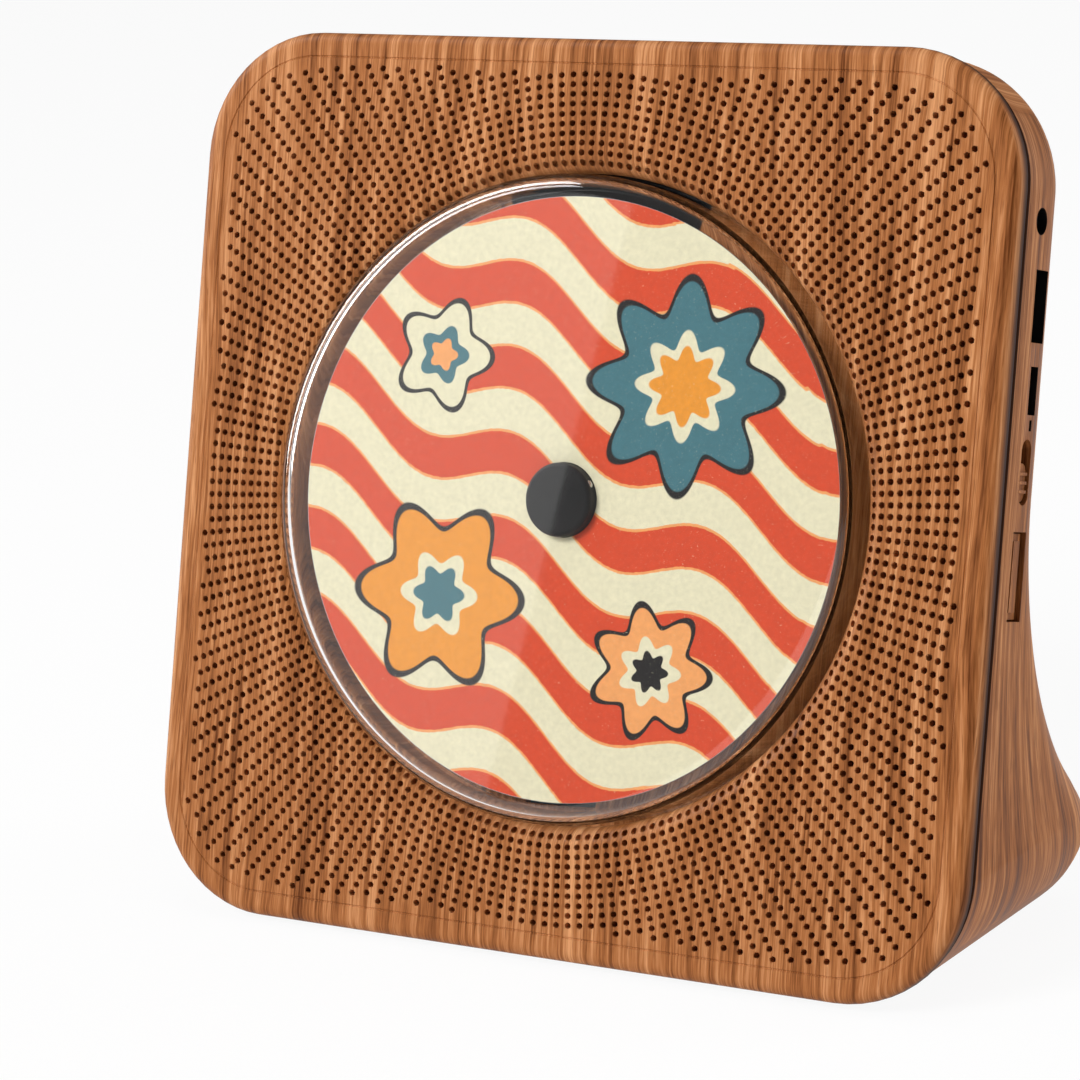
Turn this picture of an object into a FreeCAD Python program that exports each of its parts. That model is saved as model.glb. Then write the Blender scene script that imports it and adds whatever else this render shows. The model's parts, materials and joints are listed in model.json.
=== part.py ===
import FreeCAD, Part
import math
import os
import re

from FreeCAD import Placement, Rotation, Vector

# Desktop disc player: a perforated square face leaning back on a flared foot.
# Millimetres and degrees, +Z up, front towards -Y, origin under the middle of the part.
# Most pieces are drawn on the leaning deck: x to the right, y up the slope, z out of the face.

SIZES = {
    # Whole object
    "lean": 15,
    "overall_depth": 78.5,
    "foot_gap": 1.0,
    "overrun": 1.0,
    "edge_match": 0.15,
    # Front panel
    "panel_margin": 26.4,
    "panel_corner": 26,
    "panel_plate": 2.4,
    "panel_skirt": 3.6,
    "panel_wall": 2.2,
    "panel_round": 2.4,
    # Round window in the panel
    "lip_round": 4.5,
    "lip_fill": 4.6,
    "lip_wall": 2.0,
    "lip_depth": 8.6,
    # Perforation, radial rows of holes
    "hole_radius": 0.65,
    "hole_pitch": 1.93,
    "hole_edge": 1.3,
    "hole_rows": 200,
    "blind_step": 4,
    "blind_depth": 1.2,
    # Rear shell
    "seam_gap": 2.6,
    "shell_inset": 0.6,
    "shell_wall": 2.4,
    "slab_depth": 29.0,
    "back_round": 13.0,
    "base_tilt": 3.0,
    "heel_round": 17.0,
    "heel_height": 16.0,
    "flare_round": 60.0,
    "tongue_wall": 1.4,
    "tongue_reach": 1.0,
    "tongue_gap": 0.25,
    # Fixing of panel to shell
    "boss_top_inset_x": 21.0,
    "boss_top_inset_y": 17.0,
    "boss_low_inset_x": 21.0,
    "boss_below_board": 7.0,
    "boss_above_speaker": 6.0,
    "boss_radius": 4.0,
    "boss_split": 8.0,
    "boss_gap": 0.3,
    "screw_seat": 13.0,
    "screw_shank": 1.4,
    "screw_head": 2.8,
    "screw_head_height": 1.8,
    "screw_tip": 3.8,
    "screw_well": 3.2,
    "screw_gap": 0.05,
    # Rubber feet
    "foot_radius": 6.0,
    "foot_sink": 1.0,
    "foot_front_inset_x": 39.0,
    "foot_front_inset_y": 16.0,
    "foot_rear_inset_x": 32.0,
    "foot_rear_inset_y": 16.0,
    "foot_clearance": 0.1,
    # Grille cloth
    "cloth_thickness": 0.5,
    "cloth_gap": 0.4,
    # Disc well
    "well_floor": 2.0,
    "well_hole": 10.0,
    "well_ear_out": 4.7,
    "well_ear_radius": 4.0,
    "well_ear_turn": 30.0,
    "well_low_turn": 25.0,
    "well_screw_shank": 1.1,
    "well_screw_head": 2.2,
    "well_screw_head_height": 1.4,
    "slot_half_width": 8.0,
    "slot_margin": 0.8,
    # Display window and its receiver
    "display_sweep": 40.0,
    "display_turn": 64.0,
    "display_low": 8.2,
    "display_high": 4.7,
    "display_gap": 0.1,
    "receiver_side": 6.0,
    "receiver_depth": 4.0,
    "display_board_length": 34.0,
    "display_board_height": 8.0,
    "display_board_thickness": 1.6,
    # Dust cover
    "cover_gap": 0.5,
    "cover_proud": 7.2,
    "cover_front": 2.0,
    "cover_wall": 1.8,
    "cover_round": 4.5,
    "cover_seat_gap": 0.2,
    # Disc and hub
    "disc_radius": 60.0,
    "disc_hole": 7.5,
    "disc_thickness": 1.2,
    "disc_drop": 0.3,
    "disc_room": 2.5,
    "disc_ring_radius": 17.0,
    "disc_ring_width": 0.6,
    "disc_ring_height": 0.2,
    "hub_play": 0.15,
    "hub_proud": 2.8,
    "hub_round": 0.9,
    "hub_flange_radius": 14.5,
    "hub_flange": 1.5,
    "hub_barrel_radius": 4.0,
    "hub_barrel": 3.0,
    "ball_radius": 1.1,
    "ball_ring": 6.5,
    "ball_lift": 1.0,
    "ball_gap": 0.06,
    "shaft_radius": 1.0,
    "shaft_gap": 0.03,
    "shaft_cover": 1.2,
    # Spindle motor
    "motor_radius": 12.0,
    "motor_height": 7.8,
    "motor_collar_radius": 3.2,
    "motor_collar": 2.0,
    # Mechanism chassis
    "chassis_gap": 4.0,
    "chassis_plate": 1.2,
    "chassis_half_width": 45.0,
    "chassis_top": 24.0,
    "chassis_reach": 16.0,
    "opening_half_width": 21.0,
    "opening_top": 13.2,
    "opening_reach": 8.6,
    "flange_height": 5.0,
    # Rubber mountings of the chassis
    "post_x": 37.0,
    "post_top_y": 18.0,
    "post_low_inset": 8.0,
    "post_radius": 3.2,
    "grommet_radius": 4.2,
    "grommet_neck": 2.95,
    "grommet_bore": 1.6,
    "grommet_lip": 1.4,
    "grommet_gap": 0.05,
    "mech_shank": 1.3,
    "mech_head": 3.4,
    "mech_head_height": 1.6,
    # Guide rods and pickup sled
    "rod_x": 17.0,
    "rod_radius": 1.5,
    "rod_drop": 3.0,
    "rod_holder_length": 4.0,
    "rod_holder_half_width": 3.0,
    "rod_gap": 0.05,
    "sled_half_width": 19.6,
    "sled_length": 18.0,
    "sled_height": 8.8,
    "sled_gap": 0.6,
    "lens_start": 24.0,
    "holder_half_width": 6.0,
    "holder_half_length": 4.2,
    "holder_gap": 0.7,
    "lens_radius": 2.4,
    "lens_thickness": 1.0,
    "lens_distance": 1.6,
    "lens_rim": 3.5,
    # Sled drive
    "tooth_module": 0.6,
    "pinion_teeth": 8,
    "wheel_teeth": 24,
    "gear_teeth": 12,
    "tooth_play": 0.12,
    "rack_pitch_line": 26.0,
    "rack_thickness": 1.3,
    "rack_below": 10.0,
    "rack_above": 31.0,
    "rack_gap": 0.1,
    "gear_fall": 30.0,
    "gear_lift": 0.3,
    "wheel_thickness": 1.3,
    "axle_radius": 0.9,
    "axle_gap": 0.05,
    "sled_motor_radius": 9.0,
    "sled_motor_height": 7.5,
    "sled_motor_turn": 60.0,
    "sled_motor_shaft": 0.75,
    # Speakers
    "speaker_side_gap": 6.5,
    "speaker_inset_x": 27.7,
    "speaker_inset_y": 27.7,
    "speaker_radius": 20.0,
    "speaker_flange": 1.6,
    "speaker_wall": 0.8,
    "basket_depth": 6.0,
    "basket_floor": 1.4,
    "magnet_radius": 12.5,
    "magnet_height": 8.0,
    "coil_radius": 5.4,
    "coil_wall": 0.5,
    "coil_groove": 0.5,
    "coil_reach": 2.6,
    "cone_radius": 15.4,
    "cone_wall": 0.6,
    "cone_depth": 4.2,
    "cone_sink": 1.4,
    "surround_gap": 0.3,
    "surround_thickness": 0.8,
    "clamp_post_radius": 2.2,
    "clamp_post_gap": 0.4,
    "clamp_turn": 45.0,
    "clamp_shank": 1.0,
    "clamp_head": 3.2,
    "clamp_head_height": 1.4,
    # Main board and its sockets
    "board_width": 27.4,
    "board_setback": 2.4,
    "board_below_key": 18.8,
    "board_inset": 23.4,
    "board_front": 19.2,
    "board_thickness": 1.6,
    "board_screw_inset_left": 4.0,
    "board_screw_inset_right": 5.0,
    "board_screw_inset_low": 4.0,
    "board_screw_inset_high": 2.5,
    "board_post_radius": 2.4,
    "board_screw_shank": 1.0,
    "board_screw_head": 2.0,
    "board_screw_head_height": 1.3,
    "board_screw_reach": 3.6,
    "socket_setback": 1.5,
    "aux_from_top": 31.2,
    "aux_depth": 13.0,
    "aux_bore": 1.8,
    "aux_collar": 2.5,
    "aux_collar_length": 2.0,
    "aux_collar_gap": 0.1,
    "aux_body_length": 14.0,
    "aux_body_half": 3.0,
    "usb_from_top": 47.2,
    "usb_depth": 15.6,
    "usb_width": 13.2,
    "usb_height": 5.8,
    "usb_length": 14.0,
    "usb_wall": 0.4,
    "usb_tongue": 1.9,
    "usb_tongue_inset": 1.0,
    "charge_from_top": 63.2,
    "charge_depth": 15.2,
    "charge_width": 8.6,
    "charge_height": 3.0,
    "charge_length": 7.4,
    "charge_wall": 0.35,
    "charge_tongue": 0.7,
    "port_gap": 0.3,
    "light_from_top": 69.8,
    "light_length": 2.0,
    "light_width": 1.0,
    "light_reach": 2.2,
    "light_gap": 0.05,
    # Power switch
    "switch_from_top": 78.7,
    "switch_depth": 14.4,
    "slider_width": 4.0,
    "slider_length": 7.4,
    "slider_travel": 4.0,
    "slider_sink": 0.7,
    "slider_gap": 0.3,
    "slider_rib": 0.5,
    "slider_rib_width": 0.6,
    "slider_rib_pitch": 1.7,
    "slider_flange": 0.5,
    "slider_flange_gap": 0.5,
    "slider_stem_half": 1.0,
    "switch_setback": 2.4,
    "switch_body_length": 7.0,
    "switch_body_width": 15.0,
    "switch_slot_depth": 2.2,
    # Rocker key
    "key_from_top": 98.6,
    "key_depth": 14.4,
    "key_length": 16.4,
    "key_width": 5.6,
    "key_gap": 0.35,
    "key_sink": 1.0,
    "key_thickness": 1.6,
    "key_bar_height": 0.5,
    "key_bar_inset": 1.4,
    "key_pin_setback": 3.4,
    "key_pin_radius": 0.8,
    "key_pin_gap": 0.05,
    "key_lug_half": 1.4,
    "key_ear": 1.4,
    "key_ear_half": 1.8,
    "key_ear_gap": 0.15,
    "key_switch_inset": 2.6,
    "key_switch_side": 3.4,
    "key_switch_gap": 0.9,
    "key_block_length": 9.0,
    # Battery in the foot
    "cell_radius": 9.2,
    "cell_length": 65.0,
    "cell_inset": 28.0,
    "cell_clearance": 0.3,
    "cradle_wall": 1.6,
    "cradle_floor": 1.6,
    "cradle_height": 11.0,
    "cradle_ear": 8.0,
    "cradle_post_radius": 2.6,
    "cradle_post_height": 5.0,
    "cradle_ear_thickness": 2.0,
    "cradle_shank": 1.1,
    "cradle_head": 2.2,
    "cradle_head_height": 1.4,
}

doc = FreeCAD.newDocument("disc_player")
sheet = doc.addObject("Spreadsheet::Sheet", "sizes")
for row, (alias, number) in enumerate(SIZES.items(), start=1):
    sheet.set("A%d" % row, alias)
    sheet.set("B%d" % row, str(number))
    sheet.setAlias("B%d" % row, alias)
doc.recompute()

# The panel is as wide and as high as what stands behind it needs
OUTLINE = {
    "panel_width": "2 * (chassis_half_width + speaker_side_gap + magnet_radius + speaker_inset_x)",
    "panel_height": "max(2 * (disc_radius + disc_room + cover_wall + cover_gap + panel_margin);"
                    " key_from_top + board_below_key + boss_below_board + boss_above_speaker"
                    " + speaker_radius + speaker_inset_y)",
}
WORD = re.compile(r"[a-z][a-z_]*")
EDGE_COSINE = math.cos(math.radians(25))
RIGHT_ANGLE = 90
TURN_TO_X = Rotation(Vector(0, 1, 0), RIGHT_ANGLE)
TURN_TO_Y = Rotation(Vector(1, 0, 0), -RIGHT_ANGLE)
UPRIGHT = Rotation()
nodes = []


def size(name):
    """Return one size of the sheet, or of the outline, as a number."""
    return getattr(outline, name) if name in OUTLINE else float(sheet.get(name))


def bound(text):
    """Return an expression in which every size name is looked up where it is kept."""
    def kept(word):
        name = word.group()
        if name in SIZES:
            return "sizes." + name
        return "outline." + name if name in OUTLINE else name
    return WORD.sub(kept, text)


def bind(thing, **expressions):
    """Bind properties of a document object to sizes of the sheet."""
    for name, text in expressions.items():
        thing.setExpression(name, bound(text))


def place(thing, x, y, z, turn=UPRIGHT):
    """Turn an object and bind its position to the sheet."""
    thing.Placement = Placement(Vector(), turn)
    for axis, text in zip("xyz", (x, y, z)):
        thing.setExpression("Placement.Base." + axis, bound(text))
    return thing


outline = doc.addObject("App::VarSet", "outline")
for outline_name, outline_text in OUTLINE.items():
    outline.addProperty("App::PropertyFloat", outline_name)
    outline.setExpression(outline_name, bound(outline_text))
doc.recompute()


def box(name, lengths, low):
    """Make a box: its length, width and height, then its middle in x and y and its lowest z."""
    thing = doc.addObject("Part::Box", name)
    bind(thing, Length=lengths[0], Width=lengths[1], Height=lengths[2])
    x = "%s - (%s) / 2" % (low[0], lengths[0])
    y = "%s - (%s) / 2" % (low[1], lengths[1])
    return place(thing, x, y, low[2])


def cylinder(name, radius, height, start, turn=UPRIGHT):
    """Make a cylinder that rises from the middle of its first end, along z or where it is turned."""
    thing = doc.addObject("Part::Cylinder", name)
    bind(thing, Radius=radius, Height=height)
    return place(thing, start[0], start[1], start[2], turn)


def cone(name, low_radius, high_radius, height, start):
    """Make a cone frustum that rises along z."""
    thing = doc.addObject("Part::Cone", name)
    bind(thing, Radius1=low_radius, Radius2=high_radius, Height=height)
    return place(thing, start[0], start[1], start[2])


def sphere(name, radius, centre, turn=UPRIGHT):
    """Make a ball, its seam turned as asked."""
    thing = doc.addObject("Part::Sphere", name)
    bind(thing, Radius=radius)
    return place(thing, centre[0], centre[1], centre[2], turn)


def fuse(name, *things):
    """Join solids into one."""
    if len(things) == 1:
        return things[0]
    thing = doc.addObject("Part::MultiFuse", name)
    thing.Shapes = list(things)
    thing.Refine = True
    return thing


def common(name, *things):
    """Keep what all the solids share."""
    thing = doc.addObject("Part::MultiCommon", name)
    thing.Shapes = list(things)
    return thing


def cut(name, base, *tools):
    """Cut tools out of a solid."""
    thing = doc.addObject("Part::Cut", name)
    thing.Base = base
    thing.Tool = fuse(name + "_tools", *tools)
    return thing


def solid(name, shape):
    """Hold a shape that is worked out from the sheet."""
    thing = doc.addObject("Part::Feature", name)
    thing.Shape = shape
    return thing


def ring(name, outer, inner, height, start):
    """Make a flat ring from two concentric cylinders."""
    x, y, z = start
    whole = cylinder(name + "_outer", outer, height, start)
    bore = cylinder(name + "_bore", inner, "%s + 2 * overrun" % height, (x, y, "%s - overrun" % z))
    return cut(name, whole, bore)


def rounded(name, base, radius, chosen):
    """Round the edges of a solid that a test picks out."""
    doc.recompute()
    thing = doc.addObject("Part::Fillet", name)
    thing.Base = base
    picked = [number for number, edge in enumerate(base.Shape.Edges, start=1) if chosen(edge)]
    thing.Edges = [(number, radius, radius) for number in picked]
    return thing


def rises(edge):
    """Tell whether an edge is a straight one along z."""
    first, last = edge.Vertexes[0].Point, edge.Vertexes[-1].Point
    along = first - last
    return along.Length > 0 and along.cross(Vector(0, 0, 1)).Length < Part.Precision.confusion()


def at_height(height):
    """Return a test for edges that lie in one level plane."""
    def test(edge):
        close = math.sqrt(Part.Precision.confusion())
        return max(abs(edge.BoundBox.ZMin - height), abs(edge.BoundBox.ZMax - height)) < close
    return test


def rounded_box(name, lengths, low, corner):
    """Make a box with its upright edges rounded."""
    return rounded(name, box(name + "_block", lengths, low), corner, rises)


def node(label, *things, deck=True):
    """Finish a piece under its own label, on the leaning deck or as it stands."""
    doc.recompute()
    thing = doc.addObject("Part::Compound", label)
    thing.Label = label
    thing.Links = list(things)
    if deck:
        on_deck(thing)
    nodes.append(thing)
    return thing


def on_deck(thing):
    """Lean an object drawn on the deck back to its place in the part."""
    thing.Placement = Placement(Vector(), Rotation(Vector(1, 0, 0), RIGHT_ANGLE))
    bind(thing, **{"Placement.Rotation.Angle": "90 - lean"})
    bind(thing, **{"Placement.Base.y": DECK_Y, "Placement.Base.z": DECK_Z})
    return thing


# Where the middle of the panel's face stands
DECK_Y = ("-overall_depth / 2 + (panel_height / 2 - panel_round) * sin(lean)"
          " - panel_round * cos(lean) + panel_round")
DECK_Z = "foot_gap + panel_height / 2 * cos(lean) + panel_skirt * sin(lean)"

# Places that follow the panel's edges, the disc and the side wall
WINDOW = "(disc_radius + disc_room + cover_wall + cover_gap)"
COVER = "(disc_radius + disc_room + cover_wall)"
WALL_OUTSIDE = "(panel_width / 2 - shell_inset)"
WALL_INSIDE = "(panel_width / 2 - shell_inset - shell_wall)"
SOCKET_FRONT = "(%s - socket_setback)" % WALL_INSIDE
SWITCH_FRONT = "(%s - switch_setback)" % WALL_INSIDE
SLIDER_FACE = "(%s - slider_sink)" % WALL_OUTSIDE
SLIDER_FLANGE_FRONT = "(%s - slider_flange_gap)" % WALL_INSIDE
KEY_FACE = "(%s - key_sink)" % WALL_OUTSIDE
KEY_PIN_X = "(%s - key_pin_setback)" % WALL_INSIDE
AUX_Y, USB_Y, CHARGE_Y, LIGHT_Y, SWITCH_Y, KEY_Y = (
    "(panel_height / 2 - %s_from_top)" % name for name in ("aux", "usb", "charge", "light", "switch", "key"))
BOARD_RIGHT = "(%s - board_setback)" % WALL_INSIDE
BOARD_LEFT = "(%s - board_width)" % BOARD_RIGHT
BOARD_HIGH = "(panel_height / 2 - board_inset)"
BOARD_LOW = "(%s - board_below_key)" % KEY_Y
SPEAKER_X = "(panel_width / 2 - speaker_inset_x)"
SPEAKER_Y = "(speaker_inset_y - panel_height / 2)"
CELL_Y = "(overall_depth / 2 - cell_inset)"
CHASSIS_BOTTOM = "(disc_radius + chassis_reach)"
OPENING_BOTTOM = "(disc_radius + opening_reach)"
BOSS_TOP_X = "(panel_width / 2 - boss_top_inset_x)"
BOSS_TOP_Y = "(panel_height / 2 - boss_top_inset_y)"
BOSS_LOW_X = "(panel_width / 2 - boss_low_inset_x)"
BOSS_LOW_Y = "(%s - boss_below_board)" % BOARD_LOW

# Levels on the deck, from the front to the back
DISC_TOP = "-disc_drop"
DISC_LOW = "-disc_drop - disc_thickness"
FLOOR_TOP = "-lip_depth"
FLOOR_LOW = "-lip_depth - well_floor"
CHASSIS_TOP = "-lip_depth - well_floor - chassis_gap"
CHASSIS_LOW = "-lip_depth - well_floor - chassis_gap - chassis_plate"
SLED_TOP = "-lip_depth - well_floor - sled_gap"
CLOTH_LOW = "-panel_plate - cloth_thickness"
ROD_LEVEL = CHASSIS_LOW + " - rod_drop"
BALL_TURNS = (30, 150, 270)
EAR_TURNS = ("well_ear_turn", "180 - well_ear_turn", "270 - well_low_turn", "270 + well_low_turn")
CASE_BOSSES = ((BOSS_TOP_X, BOSS_TOP_Y), ("-" + BOSS_TOP_X, BOSS_TOP_Y),
               (BOSS_LOW_X, BOSS_LOW_Y), ("-" + BOSS_LOW_X, BOSS_LOW_Y))
SIDES = (("left", "-"), ("right", ""))


def ear_place(turn):
    """Return the place of one fixing ear of the disc well."""
    reach = "(%s + well_ear_out)" % WINDOW
    return "%s * cos(%s)" % (reach, turn), "%s * sin(%s)" % (reach, turn)


def clamp_places(sign):
    """Return the places of the two clamping posts beside a speaker."""
    reach = "(speaker_radius + clamp_post_gap + clamp_post_radius)"
    across = "%s * cos(clamp_turn)" % reach
    along = "%s * sin(clamp_turn)" % reach
    outer = ("%s(%s + %s)" % (sign, SPEAKER_X, across), "%s + %s" % (SPEAKER_Y, along))
    inner = ("%s(%s - %s)" % (sign, SPEAKER_X, across), "%s - %s" % (SPEAKER_Y, along))
    return outer, inner


def in_field(x, y):
    """Tell whether a place on the panel's face lies inside the rounded edge of the perforation."""
    corner = size("panel_corner")
    across = max(abs(x) - size("panel_width") / 2 + corner, 0)
    along = max(abs(y) - size("panel_height") / 2 + corner, 0)
    margin = size("panel_wall") + size("panel_round") + 2 * size("hole_radius")
    return math.hypot(across, along) < corner - margin


def window_radius():
    """Return the radius of the window in the panel."""
    return sum(size(name) for name in ("disc_radius", "disc_room", "cover_wall", "cover_gap"))


def grille_holes():
    """Return the panel's holes on its radial rows: right through before a speaker, shallow beyond."""
    pitch = size("hole_pitch")
    rows = int(size("hole_rows"))
    step = int(size("blind_step"))
    clear = size("cone_radius") - size("hole_radius")
    rings = int(size("panel_height") / pitch)
    first = window_radius() + size("lip_round") + size("hole_edge")
    holes = []
    for row in range(rows):
        turn = 2 * math.pi * row / rows
        for number in range(rings):
            reach = first + number * pitch
            x, y = reach * math.cos(turn), reach * math.sin(turn)
            from_speaker = math.hypot(abs(x) - size("panel_width") / 2 + size("speaker_inset_x"),
                                      y + size("panel_height") / 2 - size("speaker_inset_y"))
            if from_speaker < clear:
                low = -size("panel_plate") - size("overrun")
            elif row % step == 0 and number % step == 0:
                low = -size("blind_depth")
            else:
                continue
            if in_field(x, y):
                holes.append(Part.makeCylinder(size("hole_radius"), size("overrun") - low, Vector(x, y, low)))
    return Part.makeCompound(holes)


def front_panel():
    """Model the panel: face, skirt, rolled lip round the window, bosses and grille holes."""
    block = rounded_box("panel_block", ("panel_width", "panel_height", "panel_skirt"),
                        ("0", "0", "-panel_skirt"), size("panel_corner"))
    soft = rounded("panel_soft", block, size("panel_round"), at_height(0))
    hollow = rounded_box("panel_hollow",
                         ("panel_width - 2 * panel_wall", "panel_height - 2 * panel_wall",
                          "panel_skirt - panel_plate + overrun"),
                         ("0", "0", "-panel_skirt - overrun"), size("panel_corner") - size("panel_wall"))
    tray = cut("panel_tray", soft, hollow)
    fill = cylinder("lip_fill", WINDOW + " + lip_round", "lip_fill", ("0", "0", "-lip_fill"))
    wall = cylinder("lip_wall", WINDOW + " + lip_wall", "lip_depth - panel_plate / 2",
                    ("0", "0", "-lip_depth"))
    pieces = [tray, fill, wall]
    for x, y in CASE_BOSSES:
        pieces.append(cylinder("case_boss", "boss_radius", "boss_split - panel_plate / 2",
                               (x, y, "-boss_split")))
    for turn in EAR_TURNS:
        x, y = ear_place(turn)
        pieces.append(cylinder("well_boss", "well_ear_radius", "lip_depth - panel_plate / 2",
                               (x, y, FLOOR_TOP)))
    for sign in ("", "-"):
        for x, y in clamp_places(sign):
            height = "panel_plate / 2 + cloth_thickness + speaker_flange"
            pieces.append(cylinder("clamp_post", "clamp_post_radius", height,
                                   (x, y, CLOTH_LOW + " - speaker_flange")))
    joined = fuse("panel_joined", *pieces)
    window = cylinder("window_bore", WINDOW, "lip_depth + 2 * overrun", ("0", "0", FLOOR_TOP + " - overrun"))
    opened = cut("panel_opened", joined, window)

    def window_edge(edge):
        flat = at_height(0)(edge)
        return flat and abs(edge.BoundBox.XMax - window_radius()) < size("lip_wall")

    rolled = rounded("panel_rolled", opened, size("lip_round"), window_edge)
    tools = [solid("grille_holes", grille_holes()), display_cutout()]
    for x, y in CASE_BOSSES:
        tools.append(cylinder("case_hole", "screw_shank + screw_gap", "boss_split - screw_tip + 2 * overrun",
                              (x, y, "-boss_split - overrun")))
    for turn in EAR_TURNS:
        x, y = ear_place(turn)
        tools.append(cylinder("well_hole", "well_screw_shank + screw_gap",
                              "lip_depth - panel_plate + overrun",
                              (x, y, FLOOR_TOP + " - overrun")))
    for sign in ("", "-"):
        for x, y in clamp_places(sign):
            tools.append(cylinder("clamp_hole", "clamp_shank + screw_gap",
                                  "speaker_flange + cloth_thickness + panel_plate / 2 + overrun",
                                  (x, y, CLOTH_LOW + " - speaker_flange - overrun")))
    node("front_panel", cut("panel", rolled, *tools))


def sector(name, outer, inner, low, high, start, sweep):
    """Make a stretch of a ring between two depths, from a start angle over a sweep."""
    height = "(%s) - (%s)" % (low, high)
    whole = cylinder(name + "_outer", outer, height, ("0", "0", "-(%s)" % low))
    bore = cylinder(name + "_inner", inner, height + " + 2 * overrun", ("0", "0", "-(%s) - overrun" % low))
    bind(whole, Angle=sweep)
    whole.Placement = Placement(Vector(), Rotation(Vector(0, 0, 1), RIGHT_ANGLE))
    bind(whole, **{"Placement.Rotation.Angle": start, "Placement.Base.z": "-(%s)" % low})
    return cut(name, whole, bore)


def display_cutout():
    """Return the gap in the lip that takes the display window."""
    return sector("display_cutout", WINDOW + " + lip_wall + overrun", WINDOW + " - overrun",
                  "display_low", "display_high", "display_turn", "display_sweep")


def display():
    """Model the dark display window, the receiver behind it and their small board."""
    play = "(display_gap / " + WINDOW + " * 180 / pi)"
    window = sector("display_strip", WINDOW + " + lip_wall", WINDOW,
                    "display_low - display_gap", "display_high + display_gap",
                    "display_turn + " + play, "display_sweep - 2 * " + play)
    node("display_window", window)
    middle = WINDOW + " * cos(display_turn + display_sweep / 2)"
    near = WINDOW + " + lip_wall + display_gap"
    node("ir_receiver",
         box("receiver", ("receiver_side", "receiver_depth", "display_low - lip_fill - display_gap"),
                            (middle, near + " + receiver_depth / 2", "-display_low")))
    node("display_board", box("display_card",
                              ("display_board_length", "display_board_thickness", "display_board_height"),
                              (middle, near + " + receiver_depth + display_board_thickness / 2",
                               CLOTH_LOW + " - display_board_height")))


def back_curve(inward):
    """Return the line of the shell's back in the side view, moved inward, from its foot to its top.

    The slab's back runs parallel to the panel, an open arc leads it out and a round heel turns it down."""
    lean = math.radians(size("lean"))
    up = Vector(0, math.sin(lean), math.cos(lean))
    back = Vector(0, math.cos(lean), -math.sin(lean))
    start = Vector(0, deck_y(), deck_z()) + back * (size("slab_depth") - inward)
    heel = size("heel_round") - inward
    flare = size("flare_round") + inward
    heel_middle = Vector(0, size("overall_depth") / 2 - size("heel_round"), size("heel_height"))
    depth = (heel_middle - start).dot(back)
    along = (heel_middle - start).dot(up) + math.sqrt((flare + heel) ** 2 - (flare - depth) ** 2)
    flare_middle = start + back * flare + up * along
    slab_end = start + up * along
    towards_flare = (flare_middle - heel_middle).normalize()
    meeting = heel_middle + towards_flare * heel
    tip = heel_middle + Vector(0, heel, 0)
    heel_point = heel_middle + (towards_flare + Vector(0, 1, 0)).normalize() * heel
    flare_point = flare_middle - (back + towards_flare).normalize() * flare
    slab_top = start + up * size("panel_height")
    foot = tip - Vector(0, 0, size("panel_height"))
    edges = [Part.LineSegment(foot, tip).toShape(),
             Part.Arc(tip, heel_point, meeting).toShape(),
             Part.Arc(meeting, flare_point, slab_end).toShape(),
             Part.LineSegment(slab_end, slab_top).toShape()]
    return edges, foot, slab_top


def deck_y():
    """Return where the middle of the panel's face stands along y."""
    lean = math.radians(size("lean"))
    inner = size("panel_height") / 2 - size("panel_round")
    return (-size("overall_depth") / 2 + inner * math.sin(lean)
            - size("panel_round") * math.cos(lean) + size("panel_round"))


def deck_z():
    """Return how high the middle of the panel's face stands."""
    lean = math.radians(size("lean"))
    return size("foot_gap") + size("panel_height") / 2 * math.cos(lean) + size("panel_skirt") * math.sin(lean)


def slab_block(inward, reach):
    """Return the leaning block behind the panel, round at its upper corners and open-ended below."""
    half = size("panel_width") / 2 - size("shell_inset") - inward
    top = size("panel_height") / 2 - size("shell_inset") - inward
    corner = size("panel_corner") - size("shell_inset") - inward
    start = size("panel_skirt") + size("seam_gap")
    if inward:
        start -= size("overrun")
    block = Part.makeBox(2 * half, top + reach, reach, Vector(-half, -reach, -start - reach))
    upper = [edge for edge in block.Edges if rises(edge) and edge.BoundBox.YMin > 0]
    block = block.makeFillet(corner, upper)
    block.Placement = Placement(Vector(0, deck_y(), deck_z()),
                                Rotation(Vector(1, 0, 0), RIGHT_ANGLE - size("lean")))
    return block


def foot_block(inward, reach):
    """Return the block that rounds the lower corners, running back and a little down."""
    half = size("panel_width") / 2 - size("shell_inset") - inward
    corner = size("panel_corner") - size("shell_inset") - inward
    lean = math.radians(size("lean"))
    low = size("panel_height") / 2 - size("shell_inset")
    back = size("panel_skirt") + size("seam_gap")
    edge = Vector(0, deck_y() - low * math.sin(lean) + back * math.cos(lean),
                  deck_z() - low * math.cos(lean) - back * math.sin(lean))
    block = Part.makeBox(2 * half, 2 * reach, 2 * reach, Vector(-half, -reach, inward))
    lower = [each for each in block.Edges
             if each.BoundBox.ZMax < reach and each.BoundBox.YLength > each.BoundBox.XLength]
    block = block.makeFillet(corner, lower)
    block.Placement = Placement(edge, Rotation(Vector(1, 0, 0), -size("base_tilt")))
    return block


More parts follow.
